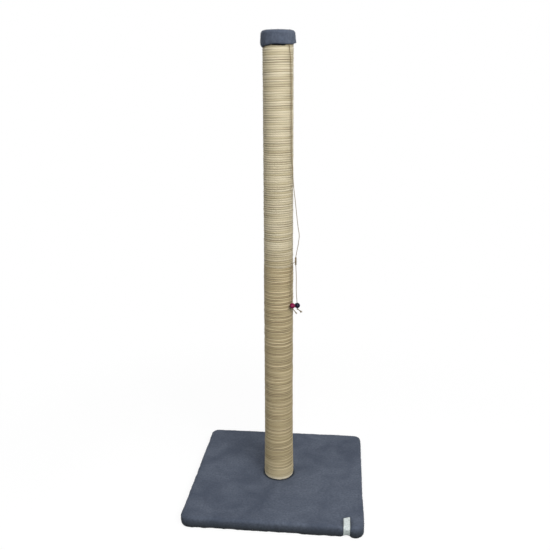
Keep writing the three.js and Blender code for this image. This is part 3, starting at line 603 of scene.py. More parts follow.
def kraft_cardboard():
    """Spiral-wound grey-brown board: a helical seam every 75 mm and faint flecks of fibre."""
    material, tree = new_material("spiral_wound_board")
    place = add(tree, "ShaderNodeTexCoord").outputs["Object"]
    split = add(tree, SPLIT, {0: place})
    angle = add(tree, MATH, {0: split.outputs["Y"], 1: split.outputs["X"]}, operation="ARCTAN2")
    share = add(tree, MATH, {0: angle, 1: 1 / (2 * math.pi)}, operation="MULTIPLY")
    climb = add(tree, MATH, {0: split.outputs["Z"], 1: 1 / (75 * MM), 2: share}, operation="MULTIPLY_ADD")
    strip = add(tree, MATH, {0: climb, 1: 1.0}, operation="FLOORED_MODULO")
    seam = add(tree, MATH, {0: strip, 1: 0.02}, operation="LESS_THAN")
    flecks = add(tree, NOISE, {"Vector": place, "Scale": 500.0, "Detail": 4.0})
    colour = add(
        tree, MIX, {"Factor": flecks, 6: linear("#8a6e4b"), 7: linear("#b0946c")}, data_type="RGBA"
    )
    lined = add(tree, MIX, {"Factor": seam, 6: colour.outputs[2], 7: linear("#5e4a31")}, data_type="RGBA")
    bump = add(tree, BUMP, {"Height": flecks, "Strength": 0.3, "Distance": 0.2 * MM})
    shader = add(tree, PRINCIPLED, {"Base Color": lined.outputs[2], "Roughness": 0.85, "Normal": bump})
    add(tree, OUTPUT, {"Surface": shader})
    return material


def fibreboard():
    """Medium-density fibreboard, sanded: even tan with fine pale and dark fibres."""
    material, tree = new_material("sanded_fibreboard")
    place = add(tree, "ShaderNodeTexCoord").outputs["Object"]
    stretch = add(tree, "ShaderNodeMapping", {"Vector": place, "Scale": (1.0, 1.0, 3.0)})
    fibres = add(tree, NOISE, {"Vector": stretch, "Scale": 420.0, "Detail": 5.0, "Roughness": 0.7})
    patches = add(tree, NOISE, {"Vector": place, "Scale": 18.0, "Detail": 2.0})
    colour = add(
        tree, MIX, {"Factor": fibres, 6: linear("#94713f"), 7: linear("#c4a473")}, data_type="RGBA"
    )
    uneven = add(tree, RANGE, {"Value": patches, 1: 0.4, 2: 0.7, 3: 0.0, 4: 0.3})
    toned = add(tree, MIX, {"Factor": uneven, 6: colour.outputs[2], 7: linear("#a5824f")}, data_type="RGBA")
    bump = add(tree, BUMP, {"Height": fibres, "Strength": 0.25, "Distance": 0.2 * MM})
    shader = add(tree, PRINCIPLED, {"Base Color": toned.outputs[2], "Roughness": 0.8, "Normal": bump})
    add(tree, OUTPUT, {"Surface": shader})
    return material


def moulded_plastic():
    """Injection-moulded polypropylene, black, with a fine spark-eroded grain."""
    material, tree = new_material("moulded_polypropylene")
    place = add(tree, "ShaderNodeTexCoord").outputs["Object"]
    grain = add(tree, NOISE, {"Vector": place, "Scale": 1500.0, "Detail": 2.0})
    rough = add(tree, RANGE, {"Value": grain, 3: 0.42, 4: 0.6})
    colour = add(tree, MIX, {"Factor": grain, 6: linear("#1c1e22"), 7: linear("#2a2c31")}, data_type="RGBA")
    bump = add(tree, BUMP, {"Height": grain, "Strength": 0.2, "Distance": 0.1 * MM})
    shader = add(tree, PRINCIPLED, {"Base Color": colour.outputs[2], "Roughness": rough, "Normal": bump})
    add(tree, OUTPUT, {"Surface": shader})
    return material


def zinc_steel():
    """Bright zinc-plated steel: cloudy bluish grey, duller where hands have touched it."""
    material, tree = new_material("zinc_plated_steel")
    place = add(tree, "ShaderNodeTexCoord").outputs["Object"]
    cloud = add(tree, NOISE, {"Vector": place, "Scale": 300.0, "Detail": 4.0})
    rough = add(tree, RANGE, {"Value": cloud, 1: 0.3, 2: 0.7, 3: 0.25, 4: 0.45})
    colour = add(tree, MIX, {"Factor": cloud, 6: linear("#a9aeb4"), 7: linear("#c8ccd0")}, data_type="RGBA")
    shader = add(tree, PRINCIPLED, {"Base Color": colour.outputs[2], "Roughness": rough, "Metallic": 1.0})
    add(tree, OUTPUT, {"Surface": shader})
    return material


STRAND_SPACING = 5.4 * MM  # between the strands' crests, along the rope
STRAND_SLANT = 1.1  # how many spacings a strand moves along while it crosses the rope's face

PLUSH = plush()
# painted shade of the gap under the cap's hem
HEM_SHADE = painted_hem_shade()
LOWER_SISAL = sisal(
    "sisal_rope_lower", pale="#d8c8a2", dark="#8f7e58", gap="#4a3d26", end_tone="#dfd2ae",
    foot=LOWER_FOOT, glued_to=LOWER_FOOT + 1.6 * LOWER_PITCH, pairing=0.4,
)
UPPER_SISAL = sisal(
    "sisal_rope_upper", pale="#ddd3b8", dark="#b3a683", gap="#64563b", end_tone="#8b7748",
    foot=UPPER_FOOT, glued_to=UPPER_FOOT, pairing=0.2,
)
LOOSE_SISAL = loose_fibre()
TWINE_FIBRE = jute_twine()
MAGENTA = bead_acrylic("acrylic_bead_magenta", "#58052d", "#9f1c52")
NAVY = bead_acrylic("acrylic_bead_navy", "#050314", "#120b30")
RIBBON = woven_ribbon()
CARDBOARD = kraft_cardboard()
FIBREBOARD = fibreboard()
MOULDING = moulded_plastic()
ZINC = zinc_steel()

for material, prefixes in (
    (FIBREBOARD, ("base_board", "top_disc")),
    (CARDBOARD, ("lower_tube", "upper_tube")),
    (MOULDING, ("lower_foot_plug", "lower_head_plug", "upper_foot_plug")),
    (ZINC, ("base_bolt", "base_washer", "hem_staple", "lower_foot_insert", "lower_head_insert",
            "upper_foot_insert", "joining_stud", "twine_staple")),
):
    for name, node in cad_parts.items():
        if name.startswith(prefixes):
            node.data.materials.clear()
            node.data.materials.append(material)

# ---------------------------------------------------------------------------
# Twine toy
# ---------------------------------------------------------------------------


def twine_piece(name, line, body, slot, *nodes):
    """A stretch of plain twine. body is None where the twine bends between two bodies."""
    points, faces, uv = twisted(line, TWINE)
    piece = mesh_piece(name, points, faces, TWINE_FIBRE, uv)
    if body:
        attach(piece, body)
    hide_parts(*nodes)
    return piece


KNOT_TOP = (5.0, 19.8, 455.3)  # given as the routes are
KNOT_TURNS = 7.5
KNOT_CORE = 1.7 * MM
KNOT_PROFILE = [(-10, 1.25), (-7.2, 2.6), (-3.3, 2.2), (0, 2.9), (3.3, 2.2), (7.2, 2.6), (10, 1.25)]


def knot_piece():
    """The twine wrapped tightly round itself: three swellings of open turns, on a twisted core.
    KNOT_PROFILE has its radius at each height, in mm."""
    profile_height, profile_radius = np.transpose(KNOT_PROFILE) * MM
    centre = beside_post(KNOT_TOP) - np.array([0, 0, KNOT_HALF])
    t = np.linspace(0, 1, 420)
    height = (0.5 - t) * 2 * (KNOT_HALF - TWINE / 2)
    angle = 2 * np.pi * KNOT_TURNS * t
    wander = 0.22 * MM * np.sin(5.3 * angle / KNOT_TURNS * 2 + 1.0)
    reach = np.interp(height, profile_height, profile_radius) - TWINE / 2 + wander
    wrap = centre + np.stack([np.cos(angle) * reach, np.sin(angle) * reach, height], axis=1)
    core = [centre + np.array([0, 0, level]) for level in (KNOT_HALF, 4 * MM, -4 * MM, -KNOT_HALF)]
    core_line = through(core, 0.8 * MM)
    points, faces, uv = joined([twisted(wrap, TWINE), twisted(core_line, KNOT_CORE, lay=2 * LAY)])
    piece = mesh_piece("twine_knot", points, faces, TWINE_FIBRE, uv)
    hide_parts("toy_knot")
    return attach(piece, "toy")


OVERHAND_DROP = 2.4 * MM  # from the bead's lower mouth to the knot's middle
OVERHAND_LOOP = 0.55 * MM
TAIL_TWINE = 2.1 * MM  # thicker than the rest, because its lay has opened
TAIL_FIBRES = 40
TAIL_FIBRE_LENGTH = 3.4 * MM
TAIL_FIBRE = 0.34 * MM


def end_knot_piece(name, run, tail, body, node, seed):
    """An overhand knot under a bead, and the twine's short end, coming untwisted at its tip."""
    end, down = end_of(run)
    centre = end + down * OVERHAND_DROP
    t = np.linspace(0, 2 * np.pi, 90)
    trefoil = [np.sin(t) + 2 * np.sin(2 * t), np.cos(t) - 2 * np.cos(2 * t), -1.1 * np.sin(3 * t)]
    knot = centre + np.stack(trefoil, axis=1) * OVERHAND_LOOP
    end_line = through([centre, *[beside_post(p) for p in tail]], 0.5 * MM)
    parts = [twisted(knot, TWINE, 10), twisted(end_line, TAIL_TWINE, 10)]
    draw = np.random.default_rng(seed)
    way = end_line[-1] - end_line[-8]
    way /= np.linalg.norm(way)
    share = np.linspace(0, 1, 7)
    for _ in range(TAIL_FIBRES):
        root = end_line[-6] + draw.normal(0, 0.45 * MM, 3)
        lean = way + draw.normal(0, 0.4, 3)
        fibre = root + np.outer(share, lean * TAIL_FIBRE_LENGTH)
        fibre += np.outer(share**2, draw.normal(0, 0.7 * MM, 3))
        parts.append(twisted(fibre, TAIL_FIBRE, 4))
    points, faces, uv = joined(parts)
    piece = mesh_piece(name, points, faces, TWINE_FIBRE, uv)
    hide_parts(node)
    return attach(piece, body)


BEAD_SEGMENTS = 48
MOUTH_FLARE = 0.45 * MM  # how much wider than the bore its mouth is
MOUTH_DEPTH = 0.5 * MM
PARTING_LINE = 0.035 * MM


def bead_profile():
    """(radius, height) down a bead's outer face and back up through its bore."""
    mouth = math.asin((BEAD_BORE + MOUTH_FLARE) / BEAD_RADIUS)
    profile = []
    for angle in np.linspace(mouth, math.pi - mouth, 41):
        reach = BEAD_RADIUS + PARTING_LINE * math.exp(-(((angle - math.pi / 2) / 0.02) ** 2))
        profile.append((reach * math.sin(angle), reach * math.cos(angle)))
    lip = BEAD_RADIUS * math.cos(mouth)
    rounded = [
        (BEAD_BORE + MOUTH_FLARE * (1 - share) ** 1.5, lip - MOUTH_DEPTH * share**1.5)
        for share in (0.35, 0.75, 1.0)
    ]
    profile += [(reach, -level) for reach, level in rounded]
    profile += [(BEAD_BORE, level) for level in np.linspace(1.5 * MM - lip, lip - 1.5 * MM, 6)]
    return profile + rounded[::-1]


def bead_piece(name, run, material, body, node):
    """A round bead with a rounded mouth at each end of its bore, and a faint parting line."""
    end, down = end_of(run)
    centre = Vector(end - down * BEAD_RADIUS)
    turn = Vector((0, 0, -1)).rotation_difference(Vector(down)).to_matrix()
    profile = bead_profile()
    points = []
    for reach, level in profile:
        for k in range(BEAD_SEGMENTS):
            angle = 2 * math.pi * k / BEAD_SEGMENTS
            spot = Vector((reach * math.cos(angle), reach * math.sin(angle), level))
            points.append(turn @ spot + centre)
    faces = ring_faces(len(profile), BEAD_SEGMENTS, closed=True)
    piece = mesh_piece(name, points, faces, material)
    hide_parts(node)
    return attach(piece, body)


def make_toy():
    """All the pieces of the toy. The held end's line is returned, for the cap to make room for it."""
    held_line = through([beside_post(p) for p in HELD_ROUTE])
    twine_piece("held_twine_end", held_line, "stand", "twine", "held_twine")

    main_line = through([beside_post(p) for p in MAIN_ROUTE])
    main = twine_piece("hanging_twine", main_line, None, "twine", "toy_hanger", "toy_cord")
    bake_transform(main)
    knot = knot_piece()

    for side, route, run, tail, length, bead_name, material, seed in (
        ("left", LEFT_ROUTE, LEFT_RUN, LEFT_TAIL, 0.1118, "magenta_bead", MAGENTA, 11),
        ("right", RIGHT_ROUTE, RIGHT_RUN, RIGHT_TAIL, 0.1008, "navy_bead", NAVY, 23),
    ):
        line = strand_line(route, run)
        strand = twine_piece(f"{side}_twine_strand", line, f"{side}_tassel", "twine", f"{side}_strand")
        bead = bead_piece(f"{side}_round_bead", run, material, f"{side}_bead", bead_name)
        knot_name, node = f"{side}_overhand_knot", f"{side}_end_knot"
        end_knot = end_knot_piece(knot_name, run, tail, f"{side}_tassel", node, seed)
    return held_line


held_line = make_toy()

# ---------------------------------------------------------------------------
# Rope windings, by Geometry Nodes
# ---------------------------------------------------------------------------


def new_tree(name, floats, integers=(), host=()):
    """A Geometry Nodes tree with these named inputs and a material, and its group input's sockets."""
    tree = bpy.data.node_groups.new(name, "GeometryNodeTree")
    groups = {"Geometry": host, "Float": floats, "Int": integers, "Material": ["Material"]}
    for kind, labels in groups.items():
        for label in labels:
            tree.interface.new_socket(name=label, in_out="INPUT", socket_type=f"NodeSocket{kind}")
    tree.interface.new_socket(name="Geometry", in_out="OUTPUT", socket_type="NodeSocketGeometry")
    return tree, add(tree, "NodeGroupInput").outputs


EXTRA_TURNS = 2.4  # wound past the two ends, and then cut off flat
TURNS_BELOW = 1.7  # how many of them start below the foot
WELD = 0.02 * MM


def winding_tree():
    """Rope laid turn on turn round a tube: a long strip, bent to a helix so that its edges meet,
    swollen to a round back between them, and welded to its own next turn and to the bore."""
    tree, given = new_tree(
        "rope_winding",
        floats=[
            "Foot Height", "Length", "Pitch", "Outer Radius", "Bore Radius", "Groove Depth",
            "Strand Spacing", "Strand Slant", "Strand Relief", "Slack", "Bunch Height",
            "Unevenness", "Foot Flare", "Flare Height", "Foot Tuck",
        ],
        integers=["Steps per Turn", "Rows Across"],
    )

    turns = add(tree, MATH, {0: given["Length"], 1: given["Pitch"]}, operation="DIVIDE")
    all_turns = add(tree, MATH, {0: turns, 1: EXTRA_TURNS}, operation="ADD")
    all_steps = add(tree, MATH, {0: all_turns, 1: given["Steps per Turn"]}, operation="MULTIPLY")
    steps = add(tree, MATH, {0: all_steps}, operation="CEIL")
    strip = add(
        tree, "GeometryNodeMeshGrid",
        {
            "Size X": steps, "Size Y": 1.0,
            "Vertices X": add(tree, MATH, {0: steps, 1: 1.0}, operation="ADD"),
            "Vertices Y": add(tree, MATH, {0: given["Rows Across"], 1: 1.0}, operation="ADD"),
        },
    )
    place = add(tree, SPLIT, {0: add(tree, "GeometryNodeInputPosition")})
    raw_step = add(tree, MATH, {0: steps, 1: 0.5, 2: place.outputs["X"]}, operation="MULTIPLY_ADD")
    step = add(tree, MATH, {0: raw_step}, operation="ROUND")
    over = add(tree, MATH, {0: place.outputs["Y"], 1: 0.5}, operation="ADD")

    turn = add(tree, MATH, {0: step, 1: given["Steps per Turn"]}, operation="DIVIDE")
    part = add(tree, MATH, {0: step, 1: given["Steps per Turn"]}, operation="FLOORED_MODULO")
    part_turn = add(tree, MATH, {0: part, 1: given["Steps per Turn"]}, operation="DIVIDE")
    angle = add(tree, MATH, {0: part_turn, 1: 2 * math.pi}, operation="MULTIPLY")
    cosine = add(tree, MATH, {0: angle}, operation="COSINE")
    sine = add(tree, MATH, {0: angle}, operation="SINE")
    rung = add(tree, MATH, {0: turn, 1: over}, operation="ADD")
    climb = add(tree, MATH, {0: rung, 1: -TURNS_BELOW}, operation="ADD")
    level = add(tree, MATH, {0: climb, 1: given["Pitch"]}, operation="MULTIPLY")

    # the turns wander a little up and down, bunched here and spread there, and in and out
    bunches = add(tree, MATH, {0: level, 1: given["Bunch Height"]}, operation="DIVIDE")
    spot = add(tree, COMBINE, {"X": cosine, "Y": sine, "Z": bunches})
    wander = add(tree, NOISE, {"Vector": spot, "Scale": 1.0, "Detail": 2.0})
    two_ways = add(tree, "FunctionNodeSeparateColor", {0: wander.outputs["Color"]})
    up_down = add(tree, MATH, {0: two_ways.outputs[0], 1: 0.5}, operation="SUBTRACT")
    in_out = add(tree, MATH, {0: two_ways.outputs[1], 1: 0.55}, operation="SUBTRACT")
    loose_level = add(tree, MATH, {0: up_down, 1: given["Slack"], 2: level}, operation="MULTIPLY_ADD")

    # the rope's round back, and the strands that cross it
    centred = add(tree, MATH, {0: over, 1: 2.0, 2: -1.0}, operation="MULTIPLY_ADD")
    square = add(tree, MATH, {0: centred, 1: centred}, operation="MULTIPLY")
    rest = add(tree, MATH, {0: 1.0, 1: square}, operation="SUBTRACT")
    rest_kept = add(tree, MATH, {0: rest, 1: 0.0}, operation="MAXIMUM")
    back = add(tree, MATH, {0: rest_kept}, operation="SQRT")
    circle = add(tree, MATH, {0: given["Outer Radius"], 1: 2 * math.pi}, operation="MULTIPLY")
    along = add(tree, MATH, {0: turn, 1: circle}, operation="MULTIPLY")
    crests = add(tree, MATH, {0: along, 1: given["Strand Spacing"]}, operation="DIVIDE")
    slanted = add(tree, MATH, {0: over, 1: given["Strand Slant"], 2: crests}, operation="MULTIPLY_ADD")
    wave = add(tree, MATH, {0: slanted, 1: math.pi}, operation="MULTIPLY")
    strand_sine = add(tree, MATH, {0: wave}, operation="SINE")
    strand = add(tree, MATH, {0: strand_sine}, operation="ABSOLUTE")
    dip = add(tree, MATH, {0: strand, 1: -1.0}, operation="ADD")
    relief = add(tree, MATH, {0: dip, 1: given["Strand Relief"]}, operation="MULTIPLY")
    relief_kept = add(tree, MATH, {0: relief, 1: back}, operation="MULTIPLY")
    sunk = add(tree, MATH, {0: back, 1: -1.0}, operation="ADD")
    groove = add(tree, MATH, {0: sunk, 1: given["Groove Depth"], 2: relief_kept}, operation="MULTIPLY_ADD")
    own = add(tree, NOISE, {"W": along, "Scale": 12.0, "Detail": 1.0}, noise_dimensions="1D")
    own_reach = add(tree, MATH, {0: own, 1: 0.5}, operation="SUBTRACT")
    proud = add(tree, MATH, {0: own_reach, 1: back}, operation="MULTIPLY")
    both_ways = add(tree, MATH, {0: proud, 1: 2.0, 2: in_out}, operation="MULTIPLY_ADD")
    uneven = add(tree, MATH, {0: both_ways, 1: given["Unevenness"], 2: groove}, operation="MULTIPLY_ADD")

    # thicker towards the foot, but drawn in at the last turn
    flares = add(tree, MATH, {0: level, 1: given["Flare Height"]}, operation="DIVIDE")
    falling = add(tree, MATH, {0: flares, 1: -1.0}, operation="MULTIPLY")
    flare = add(tree, MATH, {0: falling}, operation="EXPONENT")
    flare_kept = add(tree, MATH, {0: flare, 1: 1.0}, operation="MINIMUM")
    flared = add(tree, MATH, {0: flare_kept, 1: given["Foot Flare"], 2: uneven}, operation="MULTIPLY_ADD")
    squeezed = add(tree, MATH, {0: level, 1: -1 / (5 * MM)}, operation="MULTIPLY")
    fade = add(tree, MATH, {0: squeezed}, operation="EXPONENT")
    fade_kept = add(tree, MATH, {0: fade, 1: 1.0}, operation="MINIMUM")
    tucked = add(tree, MATH, {0: fade_kept, 1: given["Foot Tuck"]}, operation="MULTIPLY")
    shaped = add(tree, MATH, {0: flared, 1: tucked}, operation="SUBTRACT")
    reach = add(tree, MATH, {0: given["Outer Radius"], 1: shaped}, operation="ADD")

    # flat ends: what lies past them is drawn in to the bore
    cell = add(tree, MATH, {0: given["Pitch"], 1: given["Rows Across"]}, operation="DIVIDE")
    under = add(tree, MATH, {0: loose_level, 1: -1.0}, operation="MULTIPLY")
    above = add(tree, MATH, {0: loose_level, 1: given["Length"]}, operation="SUBTRACT")
    past = add(tree, MATH, {0: under, 1: above}, operation="MAXIMUM")
    gone = add(tree, MATH, {0: past, 1: cell}, operation="GREATER_THAN")
    reach_kept = add(tree, MIX, {"Factor": gone, 2: reach, 3: given["Bore Radius"]}, data_type="FLOAT")
    floor_kept = add(tree, MATH, {0: loose_level, 1: 0.0}, operation="MAXIMUM")
    level_kept = add(tree, MATH, {0: floor_kept, 1: given["Length"]}, operation="MINIMUM")
    helix = add(
        tree, COMBINE,
        {
            "X": add(tree, MATH, {0: cosine, 1: reach_kept}, operation="MULTIPLY"),
            "Y": add(tree, MATH, {0: sine, 1: reach_kept}, operation="MULTIPLY"),
            "Z": level_kept,
        },
    )

    marked = add(
        tree, "GeometryNodeStoreNamedAttribute",
        {
            "Geometry": strip, "Name": "winding",
            "Value": add(tree, COMBINE, {"X": along, "Y": over}),
        },
        data_type="FLOAT2", domain="CORNER",
    )
    wound = add(tree, "GeometryNodeSetPosition", {"Geometry": marked, "Position": helix})
    bore = add(
        tree, "GeometryNodeMeshCylinder",
        {"Vertices": given["Steps per Turn"], "Radius": given["Bore Radius"], "Depth": given["Length"]},
        fill_type="NONE",
    )
    middle = add(tree, MATH, {0: given["Length"], 1: 0.5}, operation="MULTIPLY")
    raised = add(
        tree, "GeometryNodeTransform",
        {"Geometry": bore, "Translation": add(tree, COMBINE, {"Z": middle})},
    )
    turned = add(tree, "GeometryNodeFlipFaces", {"Mesh": raised})
    both = add(tree, "GeometryNodeJoinGeometry")
    tree.links.new(wound.outputs[0], both.inputs[0])
    tree.links.new(turned.outputs[0], both.inputs[0])
    welded = add(tree, "GeometryNodeMergeByDistance", {"Geometry": both, "Distance": WELD})
    lifted = add(
        tree, "GeometryNodeTransform",
        {"Geometry": welded, "Translation": add(tree, COMBINE, {"Z": given["Foot Height"]})},
    )
    smooth = add(tree, "GeometryNodeSetShadeSmooth", {"Geometry": lifted})
    real = add(tree, "GeometryNodeRealizeInstances", {"Geometry": smooth})
    finished = add(tree, "GeometryNodeSetMaterial", {"Geometry": real, "Material": given["Material"]})
    add(tree, "NodeGroupOutput", {0: finished})
    return tree


def grown(name, tree, values, host=None):
    """The plain mesh that a Geometry Nodes tree makes with these values, as a new object."""
    mesh = host if host is not None else bpy.data.meshes.new(name)
    piece = bpy.data.objects.new(name, mesh)
    bpy.context.scene.collection.objects.link(piece)
    modifier = piece.modifiers.new("made", "NODES")
    modifier.node_group = tree
    for socket in tree.interface.items_tree:
        if socket.in_out == "INPUT" and socket.name in values:
            modifier[socket.identifier] = values[socket.name]
    depsgraph = bpy.context.evaluated_depsgraph_get()
    made = bpy.data.meshes.new_from_object(piece.evaluated_get(depsgraph))
    piece.modifiers.clear()
    piece.data = made
    return piece


def wind_post():
    """Both windings. The upper one is returned, because the cap rests on it."""
    tree = winding_tree()
    shared = {
        "Outer Radius": ROPE_RADIUS,
        "Bore Radius": ROPE_BORE,
        "Strand Spacing": STRAND_SPACING,
        "Strand Slant": STRAND_SLANT,
        "Strand Relief": 0.18 * MM,
        "Groove Depth": 1.3 * MM,
        "Flare Height": 70 * MM,
        "Steps per Turn": 160,
        "Rows Across": 4,
    }
    lower = grown("lower_rope_winding", tree, {
        **shared, "Foot Height": LOWER_FOOT, "Length": LOWER_LENGTH, "Pitch": LOWER_PITCH,
        "Slack": 2.0 * MM, "Bunch Height": 18 * MM, "Unevenness": 0.8 * MM,
        "Foot Flare": 2.4 * MM, "Foot Tuck": 1.9 * MM, "Material": LOWER_SISAL,
    })
    upper = grown("upper_rope_winding", tree, {
        **shared, "Foot Height": UPPER_FOOT, "Length": UPPER_LENGTH, "Pitch": UPPER_PITCH,
        "Slack": 1.6 * MM, "Bunch Height": 30 * MM, "Unevenness": 0.7 * MM,
        "Outer Radius": ROPE_RADIUS - 0.5 * MM, "Foot Flare": 0.0, "Foot Tuck": 0.0, "Material": UPPER_SISAL,
    })
    for piece, node in ((lower, "lower_rope"), (upper, "upper_rope")):
        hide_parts(node)
        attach(piece, "stand")
    return upper


upper_winding = wind_post()

# ---------------------------------------------------------------------------
# Loose fibres, by Geometry Nodes: off the rope, and at the edges of the plush
# ---------------------------------------------------------------------------


def fibre_tree():
    """Thin tapered fibres scattered over a host surface, each leaning, bent and long in its own way."""
    tree, given = new_tree(
        "loose_fibres",
        host=["Host"],
        floats=["Density", "Length", "Thickness", "Lean", "Bend"],
        integers=["Seed"],
    )
    roots = add(
        tree, "GeometryNodeDistributePointsOnFaces",
        {"Mesh": given["Host"], "Density": given["Density"], "Seed": given["Seed"]},
    )
    cone = add(
        tree, "GeometryNodeMeshCone",
        {"Vertices": 3, "Side Segments": 2, "Radius Top": 0.0, "Radius Bottom": 0.5, "Depth": 1.0},
        fill_type="NGON",
    )
    spot = add(tree, SPLIT, {0: add(tree, "GeometryNodeInputPosition")})
    risen = add(tree, MATH, {0: spot.outputs["Z"], 1: spot.outputs["Z"]}, operation="MULTIPLY")
    bent = add(tree, MATH, {0: risen, 1: given["Bend"]}, operation="MULTIPLY")
    slim = add(tree, MATH, {0: given["Thickness"], 1: given["Length"]}, operation="DIVIDE")
    across = add(tree, MATH, {0: spot.outputs["X"], 1: slim, 2: bent}, operation="MULTIPLY_ADD")
    deep = add(tree, MATH, {0: spot.outputs["Y"], 1: slim}, operation="MULTIPLY")
    curved = add(
        tree, "GeometryNodeSetPosition",
        {
            "Geometry": cone,
            "Position": add(tree, COMBINE, {"X": across, "Y": deep, "Z": spot.outputs["Z"]}),
        },
    )
    stray = add(
        tree, "FunctionNodeRandomValue", {0: (-1, -1, -1), 1: (1, 1, 1), "Seed": given["Seed"]},
        data_type="FLOAT_VECTOR",
    )
    leaning = add(tree, VECTOR, {0: stray, "Scale": given["Lean"]}, operation="SCALE")
    way = add(tree, VECTOR, {0: leaning, 1: roots.outputs["Normal"]}, operation="ADD")
    standing = add(tree, "FunctionNodeAlignRotationToVector", {"Vector": way}, axis="Z")
    spin = add(tree, "FunctionNodeRandomValue", {2: 0.0, 3: 2 * math.pi, "Seed": 7}, data_type="FLOAT")
    turned = add(
        tree, "FunctionNodeRotateRotation",
        {"Rotation": standing, "Rotate By": add(tree, COMBINE, {"Z": spin.outputs[1]})},
        rotation_space="LOCAL",
    )
    share = add(tree, "FunctionNodeRandomValue", {2: 0.35, 3: 1.0, "Seed": 3}, data_type="FLOAT")
    size = add(tree, MATH, {0: share.outputs[1], 1: given["Length"]}, operation="MULTIPLY")
    planted = add(
        tree, "GeometryNodeInstanceOnPoints",
        {"Points": roots.outputs["Points"], "Instance": curved, "Rotation": turned, "Scale": size},
    )
    real = add(tree, "GeometryNodeRealizeInstances", {"Geometry": planted})
    finished = add(tree, "GeometryNodeSetMaterial", {"Geometry": real, "Material": given["Material"]})
    add(tree, "NodeGroupOutput", {0: finished})
    return tree


FIBRES = fibre_tree()


def host_mesh(points, faces):
    """A plain mesh for the fibres to stand on. It isn't a piece of its own."""
    host = bpy.data.meshes.new("host")
    host.from_pydata([tuple(p) for p in points], [], faces)
    return host


def host_of(piece, keep):
    """A copy of the piece's faces whose centres satisfy keep(x, y, z)."""
    mesh = piece.data
    points = np.empty(len(mesh.vertices) * 3)
    mesh.vertices.foreach_get("co", points)
    points = points.reshape(-1, 3)
    faces = [tuple(polygon.vertices) for polygon in mesh.polygons]
    faces = [face for face in faces if keep(*points[list(face)].mean(0))]
    return host_mesh(points, faces)


def scatter(name, host, slot, **values):
    """Loose fibres over the host surface, with these values for the tree's inputs."""
    piece = grown(name, FIBRES, values, host)
    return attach(piece, "stand")


BEADS_FROM = TWINE_EXIT - 595 * MM  # the stretch of the post that the beads rub
BEADS_TO = TWINE_EXIT - 530 * MM
BEADS_ANGLE = TOY_ANGLE + 0.3
BEADS_SPREAD = 0.6


def whiskers(side, foot, length, seed):
    """Fibres that stand off the rope, a few to each square centimetre, but rubbed away by the beads."""
    segments = 24
    levels = np.linspace(foot + 3 * MM, foot + length - 3 * MM, 40)
    angles = 2 * np.pi * np.arange(segments) / segments
    reach = ROPE_RADIUS - 0.9 * MM
    points = [(reach * math.cos(a), reach * math.sin(a), z) for z in levels for a in angles]
    faces = []
    for row, level in enumerate(levels[:-1]):
        for k in range(segments):
            middle = (k + 0.5) * 2 * math.pi / segments
            off_beads = abs(math.remainder(middle - BEADS_ANGLE, 2 * math.pi))
            if off_beads < BEADS_SPREAD and BEADS_FROM < level < BEADS_TO:
                continue
            low, high, m = row * segments, (row + 1) * segments, (k + 1) % segments
            faces.append((low + k, low + m, high + m, high + k))
    scatter(
        f"{side}_rope_whiskers", host_mesh(points, faces), f"{side}_rope",
        Density=30000.0, Length=6 * MM, Thickness=0.16 * MM, Lean=1.5, Bend=0.35,
        Seed=seed, Material=LOOSE_SISAL,
    )


whiskers("lower", LOWER_FOOT, LOWER_LENGTH, seed=5)
whiskers("upper", UPPER_FOOT, UPPER_LENGTH, seed=9)

# ---------------------------------------------------------------------------
# Plush over the base
# ---------------------------------------------------------------------------

COVER_CELL = 2.5 * MM
COVER_THICKNESS = 4.3 * MM
FLOOR_GAP = 0.02 * MM
FLAT_HALF = COVER_HALF - COVER_ROUND
SIDE_HEIGHT = COVER_TOP - 2 * COVER_ROUND
WRAP_LENGTH = math.pi * COVER_ROUND + SIDE_HEIGHT + (FLAT_HALF - HEM_HALF)


def wrap_profile(run):
    """How far out from the flat top's edge and how high the plush is, after that much of the wrap."""
    quarter = math.pi / 2 * COVER_ROUND
    first = np.clip(run, 0, quarter) / COVER_ROUND
    second = np.clip(run - quarter - SIDE_HEIGHT, 0, quarter) / COVER_ROUND
    down = np.clip(run - quarter, 0, SIDE_HEIGHT)
    under = np.clip(run - 2 * quarter - SIDE_HEIGHT, 0, None)
    out = COVER_ROUND * np.sin(first) - COVER_ROUND * (1 - np.cos(second)) - under
    high = COVER_TOP - COVER_ROUND * (1 - np.cos(first)) - down - COVER_ROUND * np.sin(second)
    return out, high


def cover_points():
    """The plush's outer face as a square grid, flat rings inside and wrapped rings outside, and how
    far round the edge each point is."""
    flat_rings = round(FLAT_HALF / COVER_CELL)
    wrap_rings = round(WRAP_LENGTH / COVER_CELL)
    last = flat_rings + wrap_rings
    index = np.arange(-last, last + 1)
    a, b = np.meshgrid(index, index, indexing="ij")
    ring = np.maximum(np.abs(a), np.abs(b))
    run = np.clip(ring - flat_rings, 0, None) * WRAP_LENGTH / wrap_rings
    out, high = wrap_profile(run)
    half = np.where(ring <= flat_rings, ring * FLAT_HALF / flat_rings, FLAT_HALF + out)
    edge_corner = COVER_CORNER - COVER_ROUND
    flat_corner = edge_corner * smoothstep(ring / flat_rings, 0.75, 1.0)
    wrap_corner = flat_corner + np.clip(out, -edge_corner + 2 * MM, None)
    corner = np.where(ring <= flat_rings, flat_corner, wrap_corner)
    safe = np.maximum(ring, 1)
    x, y = a / safe * half, b / safe * half
    u = np.clip((np.abs(x) - (half - corner)) / np.maximum(corner, 1e-9), 0, None)
    v = np.clip((np.abs(y) - (half - corner)) / np.maximum(corner, 1e-9), 0, None)
    in_corner = (u > 0) & (v > 0) & (corner > 1e-6)
    size = np.maximum(np.hypot(u, v), 1e-9)
    x = np.where(in_corner, np.sign(x) * (half - corner + corner * u / size * np.maximum(u, v)), x)
    y = np.where(in_corner, np.sign(y) * (half - corner + corner * v / size * np.maximum(u, v)), y)
    return np.stack([x, y, high], axis=-1), run


